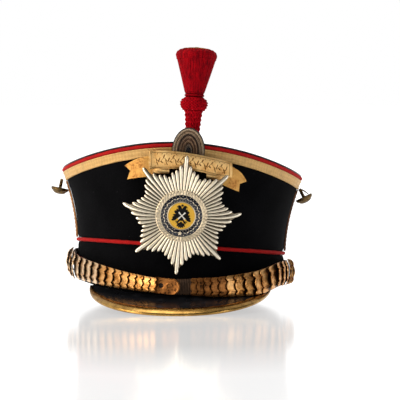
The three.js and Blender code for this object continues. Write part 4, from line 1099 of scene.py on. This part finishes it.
makePiece("scroll", scrollForms(), [giltBrass, engraving, wornGilt], ["scroll"])
print("cockade and scroll ready")

# The star

starSize = {
    "rays": 64, "perPoint": 8, "shortest": 0.69, "plate": 0.7, "height": 1.5, "widest": 1.72, "bend": 58,
    "sweep": 5, "wreath": 20, "ring": 16, "disc": 10.2, "post": 2.5, "crossArm": 3.6,
}


def starBent(points):
    # flat in the middle, bent back round a cylinder beyond the wreath; the side points sweep up by x^4
    x, y, z = np.moveaxis(np.asarray(points, float), -1, 0)
    beyond = np.maximum(0, np.abs(x) - starSize["wreath"]) / starSize["bend"]
    reach = np.minimum(np.abs(x), starSize["wreath"]) + (starSize["bend"] + z) * np.sin(beyond)
    rise = starSize["sweep"] * (np.abs(x) / front["starRadius"]) ** 4
    return vectors(np.sign(x) * reach, y + rise, (starSize["bend"] + z) * np.cos(beyond) - starSize["bend"])


def rayReach():
    # each ray's length: the middle ray of a point is the longest, the others shorter by away^0.45
    i = np.arange(starSize["rays"])
    halfPoint = starSize["perPoint"] / 2
    away = np.abs((i + halfPoint) % starSize["perPoint"] - halfPoint) / halfPoint
    wobble = 1 + 0.012 * np.sin(i * 2.7) * (away > 0)
    return front["starRadius"] * (1 - (1 - starSize["shortest"]) * away ** 0.45) * wobble


def starRays():
    # half round rods: half width pi r / rays up to a widest, closing round at the tip; z = plate + h sin b
    reach = rayReach()[:, None, None]
    angle = (np.arange(starSize["rays"]) / starSize["rays"] * 2 * pi)[:, None, None]
    tipShare = 0.8 + 0.2 * np.sin(np.linspace(0.12, 1, 12) * pi / 2)
    s = np.concatenate([np.linspace(0, 0.8, 14), tipShare])[None, :, None]
    inner = starSize["wreath"] - 1.5
    r = inner + s * (reach - inner)
    wide = np.minimum(1.02 * pi * r / starSize["rays"], starSize["widest"])
    close = np.sqrt(np.clip(1 - (np.clip(r - reach + 3.4, 0, 3.4) / 3.4) ** 2, 0, 1))
    b = np.concatenate([np.linspace(0, pi, 11), [pi * 1.02, 1.98 * pi]])[None, None]
    across = wide * close * np.cos(b)
    low = np.sin(b) < -1e-6
    z = np.where(low, 0, starSize["plate"] + starSize["height"] * (0.35 + 0.65 * close) * np.sin(b))
    x = r * np.sin(angle) + across * np.cos(angle)
    y = r * np.cos(angle) - across * np.sin(angle)
    v = np.concatenate([np.linspace(-1, 1, 11), [1, -1, -1]])[None]
    uv = np.stack(np.broadcast_arrays(np.arange(28)[:, None] * 1.0, v), -1)
    return patch(capped(starBent(vectors(x, y, z))), (False, True), uv=uv)


def starBack():
    # the plate behind the rays follows the shorter of each two neighbours, with a post to the crown
    a = around(256)[:, None]
    reach = np.interp(a / (2 * pi) * starSize["rays"], np.arange(starSize["rays"] + 1),
                      np.append(rayReach(), rayReach()[0])) - 2.2
    s = np.array([0, 0.35, 0.7, 0.9, 1, 1, 0.9, 0.5, 0])[None]
    z = np.array([1, 1, 1, 1, 0.9, 0.1, 0, 0, 0])[None] * starSize["plate"]
    plate = starBent(vectors(reach * s * np.sin(a), reach * s * np.cos(a), z))
    depth = starFace + crownPoint(0.0, front["starHeight"])[1] - 2 * gap
    depth = depth / math.cos(math.radians(front["starLean"]))
    r = np.array([0, 1, 1, 0]) * starSize["post"]
    post = lathe(r, np.array([-depth, -depth, 0.3, 0.3]), 24)
    dull = np.full((1, 8), 1)
    return [patch(plate, (True, False), dull, uv=np.ones((257, 9, 2))), patch(post, (True, False), 1)]


def wreathForms():
    # a cushion of silver under two rows of laurel leaves, berries between, and four crossed ties
    base = starSize["plate"] + starSize["height"] * 0.75
    mid = (starSize["wreath"] + starSize["ring"]) / 2 + 0.15
    wide = (starSize["wreath"] - starSize["ring"]) / 2 - 0.1
    b = around(14)[None]
    section = lathe(mid + wide * np.cos(b), base + 0.8 + 0.9 * np.sin(b), 128)
    n = 44
    a = around(n)
    forms = [patch(section, (True, True), uv=np.full((129, 15, 2), 0.75))]
    for shift, radius, lean in ((0, mid + 0.95, 0.62), (0.5, mid - 0.95, -0.62)):
        at = a + shift * 2 * pi / n
        sides = np.where(np.sin(at) > 0, -1, 1)
        angle = at + sides * (pi / 2 - lean * 0.9 * np.sign(radius - mid))
        forms.append(patch(flatLeaves(radius * np.sin(at), radius * np.cos(at), angle, 2.9, 1.35, 0.55,
                                      base + 1.55), (False, True)))
    berry = vectors(mid * np.sin(a + 0.1), mid * np.cos(a + 0.1), base + 1.75)
    forms.append(patch(pebbles(berry, [0.42, 0, 0], [0, 0.42, 0], [0, 0, 0.42], rows=7), (False, True)))
    for tie in range(4):
        at = tie * pi / 2 + np.array([-0.06, 0.06])
        ties = flatLeaves(mid * np.sin(at), mid * np.cos(at), at, 4.2, 1.1, 0.5, base + 1.75, 0.6)
        forms.append(patch(ties, (False, True)))
    rim = lathe(starSize["ring"] + 0.45 + 0.42 * np.cos(b), base + 1.3 + 0.5 * np.sin(b), 128)
    forms.append(patch(rim, (True, True), uv=np.zeros((129, 15, 2))))
    return forms


def ringForms():
    # a domed ring of enamel with small silver leaves and dots set in it, and a wire rim inside
    base = starSize["plate"] + starSize["height"] * 0.75
    low, high = starSize["disc"] + 0.9, starSize["ring"]
    r = np.array([low, *np.linspace(low, high, 14), high])
    z = np.array([base, *(base + 1.25 + 0.45 * np.sin(np.linspace(0, pi, 14))), base])
    forms = [patch(lathe(r, z, 128), (True, True))]
    mid, n = (low + high) / 2, 34
    a = around(n) + pi / n
    a = a[np.abs(a - pi) > 0.2]
    top = base + 1.68
    lean = np.where(np.arange(len(a)) % 2, 0.6, -0.6)
    angle = a + pi / 2 + 0.75 * lean
    leaves = flatLeaves(mid * np.sin(a), mid * np.cos(a), angle, 2.3, 0.6, 0.18, top)
    forms.append(patch(leaves, (False, True), 1))
    for radius in (low + 0.75, high - 0.75):
        at = a + pi / n
        dots = vectors(radius * np.sin(at), radius * np.cos(at), top - 0.18)
        forms.append(patch(pebbles(dots, [0.26, 0, 0], [0, 0.26, 0], [0, 0, 0.2], rows=5, sides=6),
                           (False, True), 1))
    petal = around(5)
    flower = flatLeaves(0.85 * np.sin(petal), -mid + 0.85 * np.cos(petal), petal, 1.8, 0.9, 0.28, top)
    forms.append(patch(flower, (False, True), 1))
    b = around(10)[None]
    rim = lathe(low - 0.42 + 0.4 * np.cos(b), base + 1.25 + 0.55 * np.sin(b), 96)
    forms.append(patch(rim, (True, True), 1, uv=np.zeros((97, 11, 2))))
    return forms


def discForms():
    # a shallow dome of amber enamel: z rises by 1 - r^2; u counts the cut rays round it
    base = starSize["plate"] + starSize["height"] + gap
    r = np.concatenate([[0.0, 1.0], np.linspace(1, 0, 24)])
    z = base + np.concatenate([[0.0, 0.0], 0.95 + 0.35 * (1 - np.linspace(1, 0, 24) ** 2)])
    turn, share = np.meshgrid(np.arange(97) / 96 * 150, r, indexing="ij")
    return [patch(lathe(r * starSize["disc"], z, 96), (True, False), uv=np.stack([turn, share], -1))]


def birdForms():
    # feathers, necks, heads and tail of a two-headed bird, each a flat seed laid on the disc
    level = starSize["plate"] + starSize["height"] + gap + 1.3
    u = starSize["disc"]
    rows = [(0, 0.02, 0, 0.8, 0.36, 0.5), (0, 0.3, 0, 0.4, 0.3, 0.45)]  # x, y, angle, length, width, height
    for k in range(6):  # wing feathers
        rows += [(0.19 + 0.07 * k, 0.4 - 0.135 * k, 0.18 + 0.36 * k, 0.64 - 0.045 * k, 0.17, 0.4)]
    rows += [  # shoulder, neck, head and beak
        (0.42, 0.26, 1.0, 0.34, 0.2, 0.55), (0.09, 0.52, 0.35, 0.42, 0.15, 0.5),
        (0.2, 0.7, 1.15, 0.26, 0.15, 0.5), (0.33, 0.67, 1.9, 0.16, 0.07, 0.45)]
    rows += [  # leg, three claws and two tail feathers
        (0.17, -0.36, 2.5, 0.32, 0.11, 0.45), (0.3, -0.5, 2.2, 0.22, 0.07, 0.4),
        (0.24, -0.55, 2.9, 0.2, 0.06, 0.4), (0.36, -0.42, 1.7, 0.2, 0.06, 0.4),
        (0.1, -0.68, 2.85, 0.44, 0.13, 0.4), (0.2, -0.66, 2.5, 0.34, 0.1, 0.38)]
    rows = np.array(rows)
    mirrored = rows * [-1, 1, -1, 1, 1, 1]
    middle = np.array([(0, -0.66, pi, 0.5, 0.16, 0.45), (0, 0.8, 0, 0.16, 0.16, 0.4)])
    x, y, angle, length, width, height = np.concatenate([rows, mirrored, middle]).T
    seeds = flatLeaves(x * u, y * u, angle, length * u, width * u * 1.15, height, level, 0.9)
    return [patch(seeds, (False, True))]


def crossForms():
    # a slanting cross whose arms widen outwards: half width 0.36 + 0.3 (r / arm)^2
    level = starSize["plate"] + starSize["height"] + gap + 1.75
    arm = starSize["crossArm"]
    r = np.linspace(-arm, arm, 21)[:, None]
    y = np.array([-1, 1, 1, 0, -1, -1])[None] * (0.36 + 0.3 * (np.abs(r) / arm) ** 2)
    z = level + np.array([0, 0, 0.35, 0.5, 0.35, 0.1])[None]
    ring = vectors(r, y, z)
    forms = []
    for a in (pi / 4, -pi / 4):
        turned = ring @ np.array([[math.cos(a), math.sin(a), 0], [-math.sin(a), math.cos(a), 0], [0, 0, 1]])
        forms.append(patch(capped(turned + [0.2, 0.3, 0]), (False, True)))
    return forms


starSeat = frontSeat(front["starOffset"], -starFace, front["starHeight"], front["starLean"],
                     front["starTurn"])
starPieces = [
    ("starRays", [starRays()] + starBack(), [raySilver, plainSilver], "silver", "star_rays"),
    ("starWreath", wreathForms(), [plainSilver], "silver", "star_wreath"),
    ("starRing", ringForms(), [navyEnamel, plainSilver], "black_enamel", "star_ring"),
    ("starDisc", discForms(), [amber], "gold_enamel", "star_disc"),
    ("starEagle", birdForms(), [blackEnamel], "black_enamel", "star_eagle"),
    ("starCross", crossForms(), [whiteEnamel], "white_enamel", "star_cross"),
]
for name, forms, finishes, slotName, node in starPieces:
    makePiece(name, moved(forms, starSeat), finishes, [node], crease=50)
print("star ready")

# The plume

plumeSize = {
    "offset": 8.6, "turn": math.radians(3), "inset": 5.4, "rise": 2.4, "foot": -4.6, "stem": 23.4,
    "stemLow": 4.8, "stemHigh": 6.9, "knob": 10.5, "knobHeight": 10.5, "collar": 7.4, "collarHeight": 3.2,
    "brushLow": 7.9, "brushHigh": 15.1, "brush": 28.6, "rim": 15.9, "cap": 5.7, "threads": 60,
}
plumeFoot = (plumeSize["offset"], -(head["halfLength"] + head["endFlare"] - plumeSize["inset"]),
             frontTop + plumeSize["rise"])
plumeSeat = seated(plumeFoot, [math.cos(plumeSize["turn"]), 0, -math.sin(plumeSize["turn"])], [0, 1, 0],
                   [math.sin(plumeSize["turn"]), 0, math.cos(plumeSize["turn"])])


def nettedForm(levels, radii, meshes, rows, depth):
    # a turned body in knotted netting: to its radius comes depth times (the cube of the higher of two
    # slanting |sin|, less 0.7) and half the depth times the two slanting sines together
    z = np.linspace(levels[0], levels[-1], 90)[None]
    r = np.interp(z, levels, radii)
    a = around(180)[:, None]
    climb = (z - levels[0]) / (levels[-1] - levels[0]) * rows * pi
    net = np.maximum(np.abs(np.sin(a * meshes / 2 + climb)), np.abs(np.sin(a * meshes / 2 - climb))) ** 3
    knot = np.sin(a * meshes / 2 + climb) * np.sin(a * meshes / 2 - climb)
    bodyR = r + depth * (net - 0.7) + depth * 0.5 * knot
    low, high = levels[0] + 0 * a, levels[-1] + 0 * a
    radius = np.concatenate([0 * a, bodyR, 0 * a], 1)
    return patch(lathe(radius, np.concatenate([low, z + 0 * a, high], 1), 180), (True, False))


def brushForm():
    # a trumpet of hanging threads: r(z) (1 + c |sin(n a)|), each thread of its own thickness; a domed cap
    rng = np.random.default_rng(7)
    base = plumeSize["stem"] + plumeSize["knobHeight"] + gap + plumeSize["collarHeight"]
    a = around(720)[:, None]
    s = np.linspace(0, 1, 60)[None]
    profile = plumeSize["brushLow"] + (plumeSize["brushHigh"] - plumeSize["brushLow"]) * s / 0.9
    profile = np.where(s > 0.9, plumeSize["rim"] - 0.6 + 0.6 * np.sin((s - 0.9) * 5 * pi), profile)
    thread = np.floor(a / (2 * pi) * plumeSize["threads"]).astype(int) % plumeSize["threads"]
    thick = rng.uniform(0.25, 1.0, plumeSize["threads"])[thread]
    drift = rng.uniform(-1, 1, plumeSize["threads"])[thread]
    arch = np.abs(np.sin(a / 2 * plumeSize["threads"]))
    ridge = (0.55 * arch * thick + 0.25 * drift * np.sin(pi * s)) * (0.4 + 0.6 * s)
    side = profile - 0.35 + ridge
    z = base + s * plumeSize["brush"]
    b = np.linspace(0.02, 1, 34)[None]
    swirl = 0.28 * np.sin(a * 34 + b * 7) * np.sin(pi * b) + 0.2 * np.sin(b * 34)
    capR = plumeSize["rim"] * np.cos(b * pi / 2) ** 0.85 + 0 * a
    capZ = base + plumeSize["brush"] + (plumeSize["cap"] + 0 * a) * np.sin(b * pi / 2) ** 0.85 + swirl
    button = 0.6 * bump(capR, 0, 2.4)
    radius = np.concatenate([0 * a, side, capR[:, :-1], 0 * a], 1)
    height = np.concatenate([base + 0 * a, z + 0 * a, capZ[:, :-1] + button[:, :-1],
                             capZ[:, -1:].mean() + 0.6 + 0 * a], 1)
    finish = np.where(np.arange(94) >= 80, 1, 0)[None]
    return patch(lathe(radius, height, 720), (True, False), finish)


def cordRings(rows, twists):
    # twisted cord laid in rings: its thickness swells by 0.14 sin(twists a + b)
    forms = []
    for radius, height, cord in rows:
        a = around(240)[:, None]
        b = around(10)[None]
        r = cord * (1 + 0.14 * np.sin(a * twists + b))
        forms.append(patch(lathe(radius + r * np.cos(b), height + r * np.sin(b), 240), (True, True)))
    return forms


def plumePieces():
    # the netted stem, the knob whose radius follows its profile, and the brush with its cords
    size = plumeSize
    knobBase, knobTop = size["stem"], size["stem"] + size["knobHeight"]
    collarTop = knobTop + gap + size["collarHeight"]
    levels = [size["foot"], size["stem"] * 0.35, size["stem"] * 0.78, size["stem"] - gap]
    radii = [size["stemLow"], size["stemLow"] * 1.12, size["stemHigh"] * 0.9, size["stemHigh"]]
    stem = [nettedForm(levels, radii, 18, 8, 0.7)]
    profile = np.array([  # share of the knob's height, share of its radius
        (0, 0.78), (0.1, 0.86), (0.3, 0.97), (0.55, 1.0), (0.75, 0.93), (0.92, 0.76), (1, 0.6)])
    knob = [nettedForm(list(knobBase + 0.1 + profile[:, 0] * (size["knobHeight"] - 0.2)),
                       list(profile[:, 1] * size["knob"]), 24, 5, 0.7)]
    knob += cordRings([(size["stemHigh"] + 0.7, knobBase + 0.9, 0.9)], 40)
    brush = [brushForm()]
    brush += cordRings([(size["collar"] - 0.7, knobTop + gap + 0.8, 0.85),
                        (size["collar"] - 0.9, collarTop - 0.5, 0.8),
                        (size["brushHigh"] - 0.2, collarTop + size["brush"] * 0.9, 0.5),
                        (size["rim"] - 0.5, collarTop + size["brush"] * 0.99, 0.6)], 60)
    return [("plumeStem", stem, [knotYarn], "plume_stem"), ("plumeKnob", knob, [knotYarn], "plume_knob"),
            ("plumeBrush", brush, [brushYarn, strawYarn], "plume_brush")]


for name, forms, finishes, node in plumePieces():
    makePiece(name, moved(forms, plumeSeat), finishes, [node], crease=70)
print("plume ready")

# Side buttons

buttonSize = {"radius": 7.2, "depth": 4.4, "wire": 0.85, "drop": 8, "leftLean": 12, "rightLean": 26}


def sideButton(side):
    # a dome, z = -depth (1 - r^2)^0.7 less a relief of twelve petals cos(12 a), hung on two twisted wires
    r = np.concatenate([np.linspace(0, 1, 34), np.linspace(0.97, 0, 10)])[None]
    a = around(96)[:, None]
    dome = -buttonSize["depth"] * np.maximum(0, 1 - r ** 2) ** 0.7
    relief = 0.22 * np.cos(12 * a) * bump(r, 0.55, 0.2)
    relief = relief + 0.3 * bump(r, 0.9, 0.05) - 0.25 * bump(r, 0.78, 0.05)
    back = 0.5 + 0.35 * bump(r, 0.95, 0.08) - 0.4 * (1 - r ** 2)
    z = np.where(np.arange(44)[None] < 34, dome - relief * (r < 1), back)
    forms = [patch(lathe(r * buttonSize["radius"], z, 96), (True, False))]
    s = np.linspace(0, 1, 60)
    for start in (0, pi):
        spin = start + s * 5.5 * pi
        path = vectors(0.55 * np.cos(spin), 1.1 * np.cos(start) * (1 - 0.5 * s) + 0.4 * np.sin(spin),
                       s * buttonSize["drop"] * 1.02 - 0.4)
        forms.append(patch(capped(tube(path, buttonSize["wire"], 9, across=(0, 1, 0))), (False, True)))
    loop = np.linspace(0, 2 * pi, 40)
    ring = vectors(0 * loop, 1.7 * np.cos(loop), 0.9 + 0.9 * np.sin(loop))
    forms.append(patch(capped(tube(ring, 0.5, 8, across=(1, 0, 0))), (False, True)))
    if side > 0:  # a bent prong beside the right button's wires
        s = np.linspace(0, 1, 24)
        prong = vectors(1.2 + 3.4 * s, 0.6 * s, 6.6 - 5.4 * s ** 1.3)
        forms.append(patch(capped(tube(prong, 0.6 * (1 - 0.35 * s), 8, across=(0, 1, 0))), (False, True)))
    t = side * pi / 2
    high = topHeight(t) - head["piping"] - laceHeight(t) - 2
    place = crownPoint(t, high, buttonSize["drop"] * 0.66 + stripSize["thickness"] + gap)
    place[2] -= buttonSize["drop"] * 0.6
    lean = -side * math.radians(buttonSize["leftLean" if side < 0 else "rightLean"])
    seat = seated(place, [math.cos(lean), 0, -math.sin(lean)], [0, 1, 0],
                  [math.sin(lean), 0, math.cos(lean)])
    return moved(forms, seat)


for side, word in ((-1, "Left"), (1, "Right")):
    makePiece("sideButton" + word, sideButton(side), [darkBrass],
              ["side_button_" + word.lower()])
print("side buttons ready")

# Table, camera and light

stageSize = {  # metres
    "width": 60.0, "depth": 60.0, "shadePoolMiddle": (0, -0.2, 0), "shadePoolReach": (0.13, 0.3),
}


def tableSheet():
    # a flat sheet at z = 0, wide enough to meet the white behind it
    x, y = np.meshgrid(np.linspace(-0.5, 0.5, 9) * stageSize["width"],
                       np.linspace(-0.5, 0.5, 9) * stageSize["depth"], indexing="ij")
    form = patch(vectors(x, y, 0))
    mesh = bpy.data.meshes.new("table")
    mesh.from_pydata(form["points"].tolist(), [], form["faces"].tolist())
    mesh.materials.append(polishedFloor())
    table = bpy.data.objects.new("table", mesh)
    bpy.context.scene.collection.objects.link(table)


tableSheet()

cameraSize = {"rise": 0.0688, "distance": 1.9, "elevation": 2.8, "widthAtTarget": 0.326,
              "shift": (0.0478, 0.0208)}
camera = bpy.data.objects.new("camera", bpy.data.cameras.new("camera"))
rise = math.radians(cameraSize["elevation"])
away = cameraSize["distance"] * np.array([0, -math.cos(rise), math.sin(rise)])
camera.location = hatOrigin + [0, 0, cameraSize["rise"]] + away
camera.rotation_euler = (pi / 2 - rise, 0, 0)
camera.data.sensor_width = 36
camera.data.lens = 36 * cameraSize["distance"] / cameraSize["widthAtTarget"]
camera.data.shift_x, camera.data.shift_y = cameraSize["shift"]
bpy.context.scene.collection.objects.link(camera)
bpy.context.scene.camera = camera

lampRows = [  # name, place, size, watts, colour, all aimed at the hat
    ("key", (-1.5, -0.8, 0.7), (0.9, 1.1), 20, "#fff4e6"),
    ("fill", (1.6, -1.0, 0.5), (0.35, 0.9), 4, "#f2f4ff"),
    ("overhead", (-0.2, -0.3, 1.7), (1.2, 0.8), 9, "#ffffff"),
]
for name, place, size, watts, tint in lampRows:
    lamp = bpy.data.lights.new(name, "AREA")
    lamp.shape = "RECTANGLE"
    lamp.size, lamp.size_y = size
    lamp.energy = watts
    lamp.color = linear(tint)[:3]
    light = bpy.data.objects.new(name, lamp)
    axis = unit(np.array(place) - np.array([0, 0, 0.09]))
    side = unit(np.cross((0, 0, 1), axis)) if abs(axis[2]) < 0.99 else np.array([1.0, 0, 0])
    turn = np.eye(4)
    turn[:3, 0], turn[:3, 1], turn[:3, 2], turn[:3, 3] = side, np.cross(axis, side), axis, place
    light.matrix_world = Matrix(turn.tolist())
    bpy.context.scene.collection.objects.link(light)

bpy.context.scene.view_settings.view_transform = "Standard"
world = bpy.data.worlds.new("white studio")
world.use_nodes = True
bpy.context.scene.world = world
tree = world.node_tree
sky = tree.nodes["Background"]
seen = addNode(tree, "LightPath")
white = addNode(tree, "Background", {"Color": (1, 1, 1, 1), "Strength": 1.0})
direction = addNode(tree, "VectorMath", {0: addNode(tree, "TexCoord").outputs["Generated"],
                                         1: (-0.3, 1.0, 0.0)}, operation="DOT_PRODUCT")
behind = addNode(tree, "MapRange", {  # white behind the hat, dim by the camera
    "Value": direction.outputs["Value"], "From Min": -0.15, "From Max": 0.35, "To Min": 0.08, "To Max": 0.9})
feed(sky, {"Color": (1, 1, 1, 1), "Strength": behind})
both = addNode(tree, "MixShader", {0: seen.outputs["Is Camera Ray"], 1: sky, 2: white})
feed(tree.nodes["World Output"], {"Surface": both})
print("table, camera and light ready")
